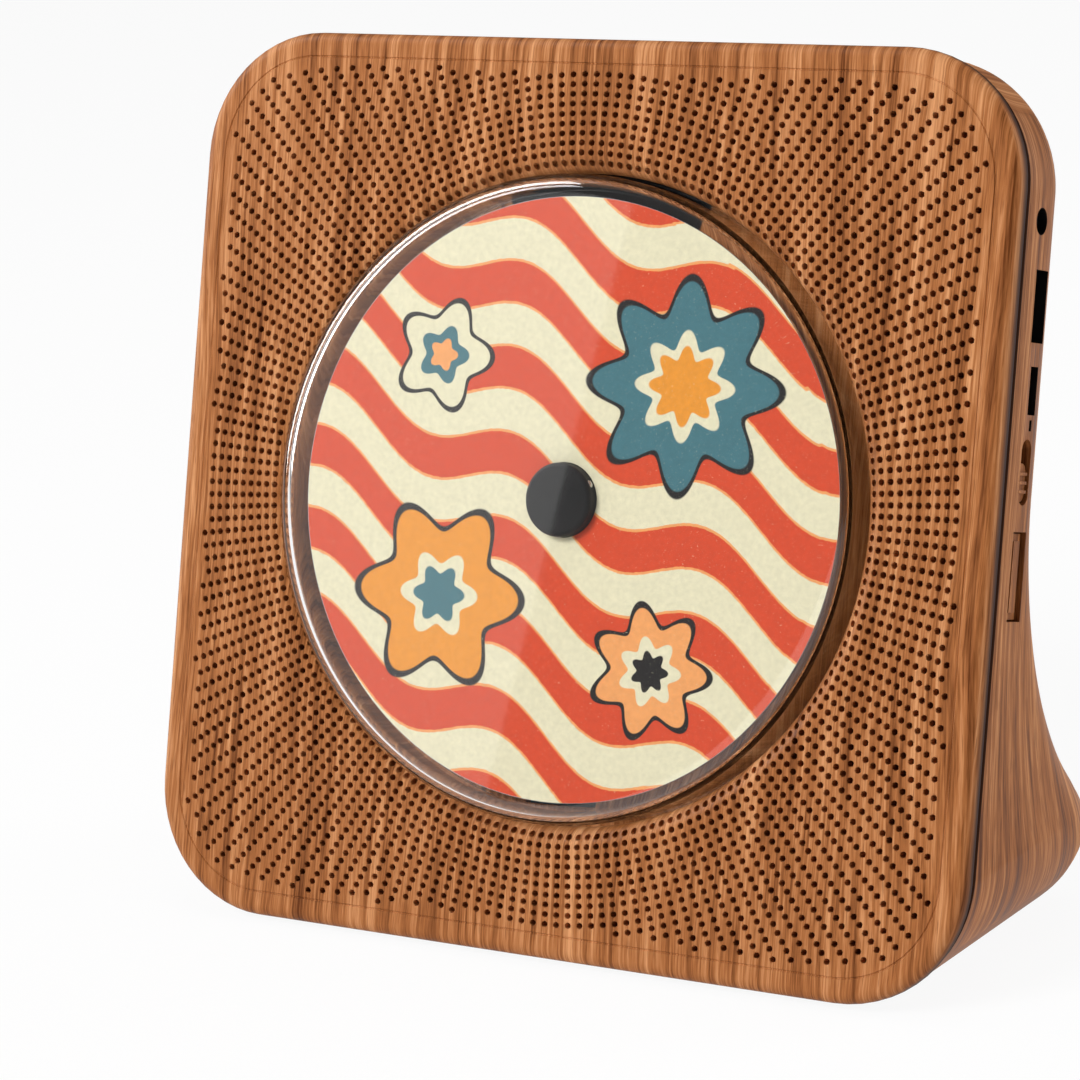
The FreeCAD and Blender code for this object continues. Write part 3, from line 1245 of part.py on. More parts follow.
def board_and_sockets():
    """Model the main board with its screws and the sockets on its edge."""
    low = "-board_front - board_thickness"
    card = box("card", (BOARD_RIGHT + " - " + BOARD_LEFT, BOARD_HIGH + " - " + BOARD_LOW, "board_thickness"),
               ("(" + BOARD_RIGHT + " + " + BOARD_LEFT + ") / 2",
                "(" + BOARD_HIGH + " + " + BOARD_LOW + ") / 2", low))
    holes, screws = [], []
    for x, y in board_screw_places():
        holes.append(cylinder("card_hole", "board_screw_shank + screw_gap", "board_thickness + 2 * overrun",
                              (x, y, low + " - overrun")))
        shank = cylinder("board_shank", "board_screw_shank",
                         "board_screw_reach + board_thickness - screw_gap",
                         (x, y, low + " - board_screw_reach + screw_gap"))
        head = cylinder("board_head", "board_screw_head", "board_screw_head_height", (x, y, "-board_front"))
        screws.append(fuse("board_screw", shank, head))
    node("main_board", cut("card_cut", card, *holes))
    node("board_screws", *screws)

    body_x = SOCKET_FRONT + " - aux_body_length / 2"
    aux_body = box("aux_body",
                   ("aux_body_length", "2 * aux_body_half", "board_front - aux_depth + aux_body_half"),
                   (body_x, AUX_Y, "-board_front"))
    collar = cylinder("aux_collar", "aux_collar", "aux_collar_length + aux_body_length / 2",
                      (body_x, AUX_Y, "-aux_depth"), TURN_TO_X)
    bore = cylinder("aux_bore", "aux_bore", "aux_collar_length + aux_body_length",
                    (SOCKET_FRONT + " - aux_body_length + aux_collar_length", AUX_Y, "-aux_depth"), TURN_TO_X)
    node("aux_jack", cut("aux", fuse("aux_joined", aux_body, collar), bore))

    usb_x = SOCKET_FRONT + " - usb_length / 2"
    usb_low = "-usb_depth - usb_height / 2"
    outside = box("usb_outside", ("usb_length", "usb_width", "usb_height"), (usb_x, USB_Y, usb_low))
    inside = box("usb_inside", ("usb_length", "usb_width - 2 * usb_wall", "usb_height - 2 * usb_wall"),
                 (usb_x + " + usb_wall + overrun / 2", USB_Y, usb_low + " + usb_wall"))
    tongue = box("usb_tongue",
                 ("usb_length - usb_tongue_inset - usb_wall / 2", "usb_width - 4 * usb_wall", "usb_tongue"),
                 (usb_x + " - usb_tongue_inset / 2 + usb_wall / 4", USB_Y, usb_low + " + usb_wall * 2"))
    feet = box("usb_feet",
               ("usb_length / 2", "usb_width / 2", "board_front - usb_depth - usb_height / 2 + usb_wall / 2"),
               (usb_x + " - usb_length / 4", USB_Y, "-board_front"))
    node("usb_socket", fuse("usb", cut("usb_shell", outside, inside), tongue, feet))

    charge_x = SOCKET_FRONT + " - charge_length / 2"
    charge_low = "-charge_depth - charge_height / 2"
    outside = box("charge_outside", ("charge_length", "charge_width", "charge_height"),
                  (charge_x, CHARGE_Y, charge_low))
    inside = box("charge_inside",
                 ("charge_length", "charge_width - 2 * charge_wall", "charge_height - 2 * charge_wall"),
                 (charge_x + " + charge_wall + overrun / 2", CHARGE_Y, charge_low + " + charge_wall"))
    tongue = box("charge_tongue",
                 ("charge_length - 2 * charge_wall", "charge_width - 6 * charge_wall", "charge_tongue"),
                 (charge_x + " - charge_wall / 2", CHARGE_Y, "-charge_depth - charge_tongue / 2"))
    feet = box("charge_feet",
               ("charge_length", "charge_width / 2",
                "board_front - charge_depth - charge_height / 2 + charge_wall / 2"),
               (charge_x, CHARGE_Y, "-board_front"))
    node("charge_socket", fuse("charge", cut("charge_shell", outside, inside), tongue, feet))
    node("charge_light", box("light_pipe", ("light_reach", "light_length", "light_width"),
                             ("panel_width / 2 - shell_inset - light_width / 2 - light_reach / 2", LIGHT_Y,
                              "-charge_depth - light_width / 2")))


def power_switch():
    """Model the slide switch on the board and its ribbed slider in the side wall."""
    depth_low = "-switch_depth - slider_width / 2"
    slider_x = "(" + SLIDER_FACE + " + " + SLIDER_FLANGE_FRONT + ") / 2"
    cap_length = SLIDER_FACE + " - " + SLIDER_FLANGE_FRONT
    straight = "slider_length - slider_width"
    start = SWITCH_Y + " - slider_travel / 2"
    pieces = [box("slider_cap", (cap_length, straight, "slider_width"), (slider_x, start, depth_low))]
    for sign in ("-", "+"):
        pieces.append(cylinder("slider_cap_end", "slider_width / 2", cap_length,
                               (SLIDER_FLANGE_FRONT, "%s %s (%s) / 2" % (start, sign, straight),
                                "-switch_depth"), TURN_TO_X))
    flange_x = SLIDER_FLANGE_FRONT + " - slider_flange / 2"
    flange = "slider_length + slider_travel + 4 * slider_gap"
    pieces.append(box("slider_flange", ("slider_flange", flange, "slider_width + 6 * slider_gap"),
                      (flange_x, start, depth_low + " - 3 * slider_gap")))
    stem = SLIDER_FLANGE_FRONT + " - " + SWITCH_FRONT + " + switch_slot_depth - slider_gap"
    pieces.append(box("slider_stem", (stem, "2 * slider_stem_half", "2 * slider_stem_half"),
                      (SLIDER_FLANGE_FRONT + " - (%s) / 2" % stem, start,
                       "-switch_depth - slider_stem_half")))
    for number in (-1, 0, 1):
        pieces.append(box("slider_rib",
                          ("2 * slider_rib", "slider_rib_width", "slider_width - 2 * slider_gap"),
                          (SLIDER_FACE, "%s + %d * slider_rib_pitch" % (start, number),
                           depth_low + " + slider_gap")))
    node("power_slider", fuse("slider", *pieces))
    body = box("switch_block",
               ("switch_body_length", "switch_body_width", "board_front - switch_depth + slider_width"),
               (SWITCH_FRONT + " - switch_body_length / 2", SWITCH_Y, "-board_front"))
    slot = box("switch_slot",
               ("switch_slot_depth + overrun", "slider_travel + 2 * slider_stem_half + 2 * slider_gap",
                               "2 * slider_stem_half + 2 * slider_gap"),
               (SWITCH_FRONT + " - (switch_slot_depth - overrun) / 2", SWITCH_Y,
                "-switch_depth - slider_stem_half - slider_gap"))
    node("power_switch", cut("switch_cut", body, slot))


def rocker_key():
    """Model the rocker key in the side wall, on its pin, and the switch block behind it."""
    key_low = "-key_depth - key_width / 2"
    plate = box("key_plate", ("key_thickness", "key_length", "key_width"),
                (KEY_FACE + " - key_thickness / 2", KEY_Y, key_low))
    bar = box("key_bar",
              ("2 * key_bar_height", "key_length - 2 * key_bar_inset", "key_width - 2 * key_bar_inset"),
              (KEY_FACE, KEY_Y, key_low + " + key_bar_inset"))
    lug_reach = KEY_FACE + " - key_thickness / 2 - " + KEY_PIN_X
    lug = box("key_lug", (lug_reach, "2 * key_lug_half", "key_width"),
              (KEY_PIN_X + " + (%s) / 2" % lug_reach, KEY_Y, key_low))
    lug_end = cylinder("key_lug_end", "key_lug_half", "key_width", (KEY_PIN_X, KEY_Y, key_low))
    pin = cylinder("key_pin", "key_pin_radius", "key_width + 2 * (key_ear + key_ear_gap)",
                   (KEY_PIN_X, KEY_Y, key_low + " - key_ear - key_ear_gap"))
    node("rocker_key", fuse("key", plate, bar, lug, lug_end, pin))

    pieces = []
    base_right = KEY_PIN_X + " - key_lug_half - key_ear_gap"
    base_left = KEY_PIN_X + " - key_block_length"
    ear_x = "(" + KEY_PIN_X + " + key_ear_half + %s) / 2" % base_left
    ear_length = KEY_PIN_X + " + key_ear_half - (%s)" % base_left
    for low in (key_low + " - key_ear - key_ear_gap", key_low + " + key_width + key_ear_gap"):
        pieces.append(box("key_ear", (ear_length, "2 * key_ear_half", "key_ear"), (ear_x, KEY_Y, low)))
    block_length = "%s - (%s)" % (base_right, base_left)
    block_x = "(%s + %s) / 2" % (base_right, base_left)
    height = "board_front - key_depth + key_width / 2 + key_ear + key_ear_gap"
    pieces.append(box("key_block",
                      (block_length, "key_length - 2 * key_switch_inset + 2 * key_switch_side", height),
                      (block_x, KEY_Y, "-board_front")))
    plunger_right = KEY_FACE + " - key_thickness - key_switch_gap"
    for sign in ("-", "+"):
        plunger = "%s - (%s) + overrun" % (plunger_right, base_right)
        pieces.append(box("key_plunger", (plunger, "key_switch_side", "key_switch_side"),
                          ("%s - (%s) / 2" % (plunger_right, plunger),
                           KEY_Y + " %s (key_length / 2 - key_switch_inset)" % sign,
                           "-key_depth - key_switch_side / 2")))
    hole = cylinder("key_pin_hole", "key_pin_radius + key_pin_gap", "key_width + 4 * (key_ear + key_ear_gap)",
                    (KEY_PIN_X, KEY_Y, key_low + " - 2 * (key_ear + key_ear_gap)"))
    node("key_switch", cut("key_switch_cut", fuse("key_switch_joined", *pieces), hole))


def battery():
    """Model the cell lying in the foot, its cradle and the cradle's screws."""
    floor = "foot_gap + shell_wall"
    centre_z = floor + " + cradle_floor + cell_clearance + cell_radius"
    node("battery_cell",
         cylinder("cell", "cell_radius", "cell_length", ("-cell_length / 2", CELL_Y, centre_z), TURN_TO_X),
         deck=False)
    room = "cell_radius + cell_clearance"
    outer_length = "cell_length + 2 * cell_clearance + 2 * cradle_wall"
    trough = box("trough", (outer_length, "2 * (%s + cradle_wall)" % room, "cradle_height"),
                 ("0", CELL_Y, floor))
    space = cylinder("trough_room", room, "cell_length + 2 * cell_clearance",
                     ("-cell_length / 2 - cell_clearance", CELL_Y, centre_z), TURN_TO_X)
    pieces, holes, screws = [trough], [space], []
    ear_low = floor + " + cradle_post_height"
    for x in cradle_ear_places():
        pieces.append(box("cradle_ear", ("cradle_ear + cradle_wall", "cradle_ear", "cradle_ear_thickness"),
                          (x, CELL_Y, ear_low)))
        holes.append(cylinder("ear_bore", "cradle_shank + screw_gap", "cradle_ear_thickness + 2 * overrun",
                              (x, CELL_Y, ear_low + " - overrun")))
        shank = cylinder("cradle_shank", "cradle_shank",
                         "cradle_post_height + cradle_ear_thickness - overrun",
                         (x, CELL_Y, floor + " + overrun"))
        head = cylinder("cradle_head", "cradle_head", "cradle_head_height",
                        (x, CELL_Y, ear_low + " + cradle_ear_thickness"))
        screws.append(fuse("cradle_screw", shank, head))
    node("battery_cradle", cut("cradle", fuse("cradle_joined", *pieces), *holes), deck=False)
    node("cradle_screws", *screws, deck=False)


front_panel()
rear_shell()
case_fasteners()
display()
disc_well()
dust_cover()
disc_and_hub()
mechanism()
pickup()
sled_drive()
speakers()
board_and_sockets()
power_switch()
rocker_key()
battery()
doc.recompute()

failed = [thing.Label for thing in doc.Objects if {"Invalid", "Error"} & set(thing.State)]
if failed:
    raise RuntimeError("these objects failed: " + ", ".join(failed))
for piece in nodes:
    if piece.Shape.isNull() or not piece.Shape.isValid() or not piece.Shape.Solids:
        raise RuntimeError("this piece has no sound shape: " + piece.Label)

os.makedirs("parts", exist_ok=True)
for piece in nodes:
    piece.Shape.exportStep(os.path.join("parts", piece.Label + ".step"))
print("pieces written:", len(nodes))
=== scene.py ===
"""Dress the desktop disc player: wood-film case, clear cover, printed disc, ports and workings."""

import json
import logging
import math
from dataclasses import dataclass
from enum import Enum
from functools import reduce
from typing import Callable, Protocol, Sequence, Union

import bmesh
import bpy
from mathutils import Matrix, Vector


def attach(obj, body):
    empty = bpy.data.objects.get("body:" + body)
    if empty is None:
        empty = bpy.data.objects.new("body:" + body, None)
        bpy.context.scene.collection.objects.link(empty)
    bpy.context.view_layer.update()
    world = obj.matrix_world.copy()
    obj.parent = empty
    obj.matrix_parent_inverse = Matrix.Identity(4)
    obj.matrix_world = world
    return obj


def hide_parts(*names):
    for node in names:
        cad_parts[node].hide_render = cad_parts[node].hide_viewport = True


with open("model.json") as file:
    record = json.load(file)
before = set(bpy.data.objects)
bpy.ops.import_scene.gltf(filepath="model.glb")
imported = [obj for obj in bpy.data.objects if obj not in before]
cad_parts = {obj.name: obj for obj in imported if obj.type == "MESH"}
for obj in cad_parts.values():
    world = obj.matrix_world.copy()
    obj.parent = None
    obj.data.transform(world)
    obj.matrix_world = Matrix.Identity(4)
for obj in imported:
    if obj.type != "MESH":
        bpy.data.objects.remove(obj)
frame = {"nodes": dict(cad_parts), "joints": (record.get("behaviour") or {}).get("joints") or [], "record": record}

LOG = logging.getLogger("disc_player")
MM = 0.001
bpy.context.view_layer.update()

Colour = tuple[float, float, float]
Span = tuple[float, float]
Profile = list[tuple[float, float]]

# Middle of a noise's range, and of a stripe's width.
MIDDLE = 0.5
WHITE: Colour = (1.0, 1.0, 1.0)


class Shows(Enum):
    """What a lamp shows on: matte surfaces, gloss or both."""

    MATTE = "matte"
    GLOSS = "gloss"
    BOTH = "both"


class Body(Enum):
    """The moving bodies that new pieces ride on."""

    CASE = "body"
    COVER = "cover"


@dataclass(frozen=True)
class Deck:
    """Leaning plane of the panel's face: x to the right, y up the slope and z out of the face."""

    origin: Vector
    lean: float

    @classmethod
    def on_joint(cls, joints: Sequence[dict], name: str) -> "Deck":
        """Find the deck from the axis that the disc turns on.

        Args:
            joints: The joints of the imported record.
            name: The name of the disc's joint.

        Returns:
            The deck, with its origin where the axis crosses the panel's face.
        """
        joint = next(entry for entry in joints if entry["name"] == name)
        axis = Vector(joint["axis"])
        return cls(Vector(joint["pos_m"]), math.atan2(axis.z, -axis.y))

    @property
    def tilt(self) -> float:
        """Angle that lifts a level drawing to the deck."""
        return math.pi / 2 - self.lean

    @property
    def turn(self) -> Matrix:
        """Rotation from deck axes to frame axes."""
        return Matrix.Rotation(self.tilt, 4, "X")

    @property
    def matrix(self) -> Matrix:
        """Matrix that takes millimetres on the deck to metres in the frame."""
        return Matrix.Translation(self.origin) @ self.turn @ Matrix.Scale(MM, 4)


def operator(operation: str, swapped: bool = False) -> Callable[["Wire", "Value"], "Wire"]:
    """Make one of the operators of a wire.

    Args:
        operation: The operation of its Math node.
        swapped: Whether the wire stands on the right.

    Returns:
        The operator's method.
    """
    def act(wire: "Wire", other: "Value") -> "Wire":
        """Add the Math node."""
        return wire.shader.math(operation, *((other, wire) if swapped else (wire, other)))

    return act


class Wire:
    """A shader value that takes part in Python arithmetic."""

    def __init__(self, shader: "Shader", socket: bpy.types.NodeSocket) -> None:
        """Keep the socket and the shader that it belongs to."""
        self.shader = shader
        self.socket = socket

    def __abs__(self) -> "Wire":
        """Drop the sign."""
        return self.shader.math("ABSOLUTE", self)

    __add__ = operator("ADD")
    __radd__ = operator("ADD", swapped=True)
    __sub__ = operator("SUBTRACT")
    __rsub__ = operator("SUBTRACT", swapped=True)
    __mul__ = operator("MULTIPLY")
    __rmul__ = operator("MULTIPLY", swapped=True)
    __truediv__ = operator("DIVIDE")
    __mod__ = operator("FLOORED_MODULO")
    __pow__ = operator("POWER")


Value = Union[Wire, float]
Place = tuple[Wire, Wire, Wire]


class Shader:
    """Node tree of one material, built from Python calls."""

    def __init__(self, name: str) -> None:
        """Start an empty material.

        Args:
            name: The material's name.
        """
        self.material = bpy.data.materials.new(name)
        self.material.use_nodes = True
        self.tree = self.material.node_tree
        self.tree.nodes.clear()

    def node(self, kind: str, settings: dict | None = None, sockets: dict | None = None,
             output: int | str = 0) -> Wire:
        """Add any node.

        Args:
            kind: The node's type.
            settings: Its properties, or a ramp's stops, which are set first.
            sockets: Values or wires of its inputs, by name or number.
            output: The output to hand back.

        Returns:
            The chosen output.
        """
        made = self.tree.nodes.new(kind)
        for key, value in (settings or {}).items():
            if key == "stops":
                self._set_stops(made.color_ramp, value)
            else:
                setattr(made, key, value)
        for key, value in (sockets or {}).items():
            self._feed(made.inputs[key], value)
        return Wire(self, made.outputs[output])

    def _set_stops(self, ramp: bpy.types.ColorRamp, stops: Sequence[tuple[float, Colour]]) -> None:
        """Give a colour ramp its stops.

        Args:
            ramp: The ramp to set.
            stops: The place and the colour of each stop.
        """
        while len(ramp.elements) < len(stops):
            ramp.elements.new(1.0)
        for element, (place, colour) in zip(ramp.elements, stops):
            element.position = place
            element.color = (*colour, 1.0)

    def _feed(self, socket: bpy.types.NodeSocket, value: object) -> None:
        """Link a wire to an input, or set its value.

        Args:
            socket: The input.
            value: A wire, or what the input itself takes.
        """
        if isinstance(value, Wire):
            self.tree.links.new(value.socket, socket)
        elif socket.type == "RGBA" and len(value) == 3:
            socket.default_value = (*value, 1.0)
        else:
            socket.default_value = value

    def math(self, operation: str, *operands: Value) -> Wire:
        """Add a Math node."""
        return self.node("ShaderNodeMath", {"operation": operation}, dict(enumerate(operands)))

    def mix(self, factor: Value, first: object, second: object) -> Wire:
        """Mix two colours."""
        settings = {"data_type": "RGBA", "clamp_factor": True}
        return self.node("ShaderNodeMix", settings, {0: factor, 6: first, 7: second}, 2)

    def stretch(self, vector: Wire, shares: Sequence[float]) -> Wire:
        """Multiply a vector by a share along each axis."""
        return self.node("ShaderNodeVectorMath", {"operation": "MULTIPLY"}, {0: vector, 1: shares})

    def parts(self, vector: Wire) -> Place:
        """Split a vector into its three values.

        Args:
            vector: The vector.

        Returns:
            Its x, y and z.
        """
        first = self.node("ShaderNodeSeparateXYZ", sockets={0: vector})
        outputs = first.socket.node.outputs
        return first, Wire(self, outputs[1]), Wire(self, outputs[2])

    def combined(self, x: Value, y: Value, z: Value) -> Wire:
        """Join three values into a vector."""
        return self.node("ShaderNodeCombineXYZ", sockets={0: x, 1: y, 2: z})

    def far(self, x: Wire, y: Wire) -> Wire:
        """Give how far two values reach from zero together."""
        return self.math("SQRT", x * x + y * y)

    def noise(self, vector: Wire, scale: float, detail: float = 2.0, roughness: float = 0.5) -> Wire:
        """Add cloudy noise, about a half on average."""
        sockets = {"Vector": vector, "Scale": scale, "Detail": detail, "Roughness": roughness}
        return self.node("ShaderNodeTexNoise", sockets=sockets)

    def rise(self, value: Value, low: float, high: float) -> Wire:
        """Rise smoothly from 0 to 1.

        Args:
            value: The value that is followed.
            low: Where the rise starts.
            high: Where it ends.

        Returns:
            The height reached at the value.
        """
        settings = {"interpolation_type": "SMOOTHSTEP", "clamp": True}
        sockets = {"Value": value, "From Min": low, "From Max": high, "To Min": 0.0, "To Max": 1.0}
        return self.node("ShaderNodeMapRange", settings, sockets)

    def between(self, value: Value, low: float, high: float, soft: float) -> Wire:
        """Give 1 between two values, with soft edges outside them."""
        return self.rise(value, low - soft, low) * (1.0 - self.rise(value, high, high + soft))

    def bump(self, height: Wire, strength: float, distance: float) -> Wire:
        """Turn a height into a normal."""
        sockets = {"Strength": strength, "Distance": distance, "Height": height}
        return self.node("ShaderNodeBump", sockets=sockets)

    def deck_point(self, deck: Deck) -> Wire:
        """Give the place on the surface in millimetres on the deck.

        Args:
            deck: The plane to measure on.

        Returns:
            The place as a vector.
        """
        place = self.node("ShaderNodeTexCoord", output="Object")
        sockets = {"Vector": place, "Location": deck.origin, "Rotation": (deck.tilt, 0.0, 0.0),
                   "Scale": (MM, MM, MM)}
        return self.node("ShaderNodeMapping", {"vector_type": "TEXTURE"}, sockets)

    def rays(self, *kinds: str) -> Wire:
        """Tell some kinds of ray from the others.

        Args:
            kinds: The kinds, as the outputs of the Light Path node.

        Returns:
            1 for a ray of these kinds.
        """
        outputs = self.node("ShaderNodeLightPath").socket.node.outputs
        wires = [Wire(self, outputs[kind]) for kind in kinds]
        return reduce(lambda first, second: self.math("MAXIMUM", first, second), wires)

    def principled(self, sockets: dict) -> Wire:
        """Add the main surface shader."""
        return self.node("ShaderNodeBsdfPrincipled", sockets=sockets)

    def blend(self, factor: Wire, first: Wire, second: Wire) -> Wire:
        """Mix two surface shaders."""
        return self.node("ShaderNodeMixShader", sockets={0: factor, 1: first, 2: second})

    def finish(self, surface: Wire) -> bpy.types.Material:
        """Close the tree with its output.

        Args:
            surface: The shader that the surface shows.

        Returns:
            The finished material.
        """
        output = self.tree.nodes.new("ShaderNodeOutputMaterial")
        self.tree.links.new(surface.socket, output.inputs["Surface"])
        return self.material


class Finish(Protocol):
    """What every finish can do."""

    def material(self, deck: Deck) -> bpy.types.Material:
        """Build the material, drawn on a deck."""


@dataclass(frozen=True)
class Moulded:
    """Finish of one plain stuff: two tones in a fine grain, with its sheen and relief."""

    name: str
    light: Colour
    dark: Colour
    smoothest: float
    roughest: float
    grain: float
    relief: float = 0.15
    metallic: float = 0.0
    shares: tuple[float, float, float] = (1.0, 1.0, 1.0)
    specular: float = 0.5
    broadening: float = 12.0
    contrast: Span = (0.35, 0.65)
    relief_depth: float = 0.1

    def material(self, deck: Deck) -> bpy.types.Material:
        """Build the material.

        Args:
            deck: The plane that the grain lies along.

        Returns:
            The finished material.
        """
        shader = Shader(self.name)
        point = shader.stretch(shader.deck_point(deck), self.shares)
        fine = shader.noise(point, self.grain, detail=4.0, roughness=0.6)
        broad = shader.noise(point, self.grain / self.broadening)
        tone = shader.rise((fine + broad) / 2.0, *self.contrast)
        sockets = {
            "Base Color": shader.mix(tone, self.dark, self.light),
            "Roughness": self.smoothest + (self.roughest - self.smoothest) * fine,
            "Metallic": self.metallic,
            "Normal": shader.bump(fine, self.relief, self.relief_depth * MM),
            "Specular IOR Level": self.specular,
        }
        return shader.finish(shader.principled(sockets))


@dataclass(frozen=True)
class Streaks:
    """One sort of streak in a film: how fine and how drawn out it is, and how much it shows."""

    scale: float
    along: float
    detail: float
    roughness: float
    weight: float

    def drawn(self, shader: Shader, across: Wire, y: Wire, layer: float) -> Wire:
        """Draw the streaks, about a half on average."""
        place = shader.combined(across, y * self.along, layer)
        return shader.noise(place, self.scale, self.detail, self.roughness)


@dataclass(frozen=True)
class WoodFilm:
    """Printed wood-grain film: streaks up the slope, which fan out over the foot at the back."""

    name: str = "wood_film"
    dark: Colour = (0.11, 0.029, 0.006)
    middle: Colour = (0.36, 0.128, 0.039)
    light: Colour = (0.62, 0.29, 0.125)
    # Painted shade: colour of the shadow painted along the seam between the panel and the shell.
    painted_seam_shade: Colour = (0.035, 0.009, 0.002)
    well: Colour = (0.006, 0.005, 0.005)
    tone_places: tuple[float, float, float] = (0.05, 0.5, 0.95)
    broad: Streaks = Streaks(scale=0.11, along=0.02, detail=2.0, roughness=0.5, weight=0.9)
    streak: Streaks = Streaks(scale=0.62, along=0.025, detail=4.0, roughness=0.62, weight=1.9)
    fibre: Streaks = Streaks(scale=2.6, along=0.03, detail=3.0, roughness=0.6, weight=1.2)
    pore: Streaks = Streaks(scale=3.4, along=0.05, detail=1.0, roughness=0.5, weight=0.45)
    pore_span: Span = (0.6, 0.72)
    fibre_height: float = 0.6
    streak_height: float = 0.4
    waver_shares: tuple[float, float, float] = (0.02, 0.008, 0.02)
    front_waver: float = 9.0
    flank_waver: float = 5.0
    flank_turns: Span = (0.6, 0.85)
    side_start: float = 85.0
    wall_outside: float = 91.1
    wall_thick: float = 2.0
    wall_turns: Span = (0.5, 0.7)
    soft_edge: float = 0.25
    port_low: float = 20.0
    port_high: float = 64.0
    port_back: float = -20.0
    port_front: float = -9.0
    half_width: float = 91.7
    half_height: float = 91.2
    corner_power: float = 8.0
    rim_span: Span = (0.72, 0.82)
    # Depths of the painted seam shade: where it starts to fade out, over how far, and where it ends at the back.
    shade_top: float = -0.9
    shade_soft: float = 2.4
    shade_bottom: float = -6.2
    strip: bool = False
    strip_radius: float = 59.0
    strip_turns: Span = (69.0, 110.0)
    strip_soft: float = 0.01
    slab_depth: float = 29.0
    foot_depth: float = 46.0
    foot_top: float = -5.0
    foot_height: float = 85.0
    smoothest: float = 0.4
    roughening: float = 0.2
    relief: float = 0.12
    relief_depth: float = 0.12
    specular: float = 0.12

    def _painted_seam_shade(self, shader: Shader, place: Place) -> Wire:
        """Paint shade along the seam round the panel: the groove between panel and shell and the lower half of the
        panel's rounded rim are darkened as painted shade.

        Args:
            shader: The tree to draw in.
            place: The place on the deck.

        Returns:
            How deep the place lies in the painted shade.
        """
        x, y, z = place
        across = (abs(x) / self.half_width) ** self.corner_power
        along = (abs(y) / self.half_height) ** self.corner_power
        outside = shader.rise(across + along, *self.rim_span)
        under = 1.0 - shader.rise(z, self.shade_top - self.shade_soft, self.shade_top)
        return outside * under * shader.rise(z, self.shade_bottom - self.soft_edge, self.shade_bottom)

    def _display_strip(self, shader: Shader, place: Place) -> Wire:
        """Draw the black strip at the top of the disc's well.

        Args:
            shader: The tree to draw in.
            place: The place on the deck.

        Returns:
            1 on the strip.
        """
        x, y, _ = place
        first, last = (math.radians(angle) for angle in self.strip_turns)
        within = shader.between(shader.math("ARCTAN2", y, x), first, last, self.strip_soft)
        return within * shader.rise(shader.far(x, y), self.strip_radius - self.soft_edge, self.strip_radius)

    def _port_walls(self, shader: Shader, place: Place, turned: Wire) -> Wire:
        """Draw the black walls of the openings for the sockets in the right side.

        Args:
            shader: The tree to draw in.
            place: The place on the deck.
            turned: How far the surface faces sideways, 1 at most.

        Returns:
            1 on the walls and floors of the openings.
        """
        x, y, z = place
        inside = self.wall_outside - self.wall_thick
        walls = 1.0 - shader.rise(turned, *self.wall_turns)
        floors = 1.0 - shader.rise(x, inside, inside + self.wall_thick / 2)
        right = shader.rise(x, self.side_start, self.side_start + self.wall_thick)
        high = shader.between(y, self.port_low, self.port_high, self.soft_edge)
        deep = shader.between(z, self.port_back, self.port_front, self.soft_edge)
        return shader.math("MAXIMUM", walls, floors) * right * high * deep

    def _grain(self, shader: Shader, across: Wire, y: Wire, layer: float) -> tuple[Wire, Wire, Wire]:
        """Draw the grain of one sheet of film.

        Args:
            shader: The tree to draw in.
            across: The place across the streaks, in millimetres.
            y: The place along them.
            layer: Which sheet of film it is; sheets differ in their streaks.

        Returns:
            The tone, the dark pores and the height of the surface.
        """
        sorts = (self.broad, self.streak, self.fibre, self.pore)
        broad, streak, fibre, pore = (sort.drawn(shader, across, y, layer) for sort in sorts)
        tone = MIDDLE + (broad - MIDDLE) * self.broad.weight
        tone = tone + (streak - MIDDLE) * self.streak.weight + (fibre - MIDDLE) * self.fibre.weight
        lines = shader.rise(pore, *self.pore_span) * self.pore.weight
        return tone, lines, fibre * self.fibre_height + streak * self.streak_height - lines

    def material(self, deck: Deck) -> bpy.types.Material:
        """Build the material.

        Args:
            deck: The plane whose slope the streaks follow.

        Returns:
            The finished material.
        """
        shader = Shader(self.name)
        place = x, y, z = shader.parts(shader.deck_point(deck))
        turned = abs(shader.parts(shader.node("ShaderNodeTexCoord", output="Normal"))[0])
        beside = shader.rise(abs(x), self.side_start, self.side_start + self.wall_thick)
        side = shader.rise(turned, *self.flank_turns) * beside
        low = shader.math("MAXIMUM", (self.foot_top - y) / self.foot_height, 0.0)
        fanned = z / (1.0 + (self.foot_depth / self.slab_depth) * low * low)
        wide, long, deep = self.waver_shares
        waver = shader.noise(shader.combined(x * wide, y * long, fanned * deep), 1.0)
        front = self._grain(shader, x + waver * self.front_waver, y, 0.0)
        flank = self._grain(shader, fanned + waver * self.flank_waver, y, self.half_width)
        tone, lines, height = (first + (second - first) * side for first, second in zip(front, flank))
        stops = list(zip(self.tone_places, (self.dark, self.middle, self.light)))
        film = shader.node("ShaderNodeValToRGB", {"stops": stops}, {0: tone})
        colour = shader.mix(lines, film, self.dark)
        # Painted shade: darken the seam's groove and the lower half of the panel's rounded rim, where shadow
        # falls.
        colour = shader.mix(self._painted_seam_shade(shader, place), colour, self.painted_seam_shade)
        colour = shader.mix(self._port_walls(shader, place, turned), colour, self.well)
        if self.strip:
            colour = shader.mix(self._display_strip(shader, place), colour, self.well)
        sockets = {
            "Base Color": colour,
            "Roughness": self.smoothest + self.roughening * tone,
            "Normal": shader.bump(height, self.relief, self.relief_depth * MM),
            "Specular IOR Level": self.specular,
        }
        return shader.finish(shader.principled(sockets))


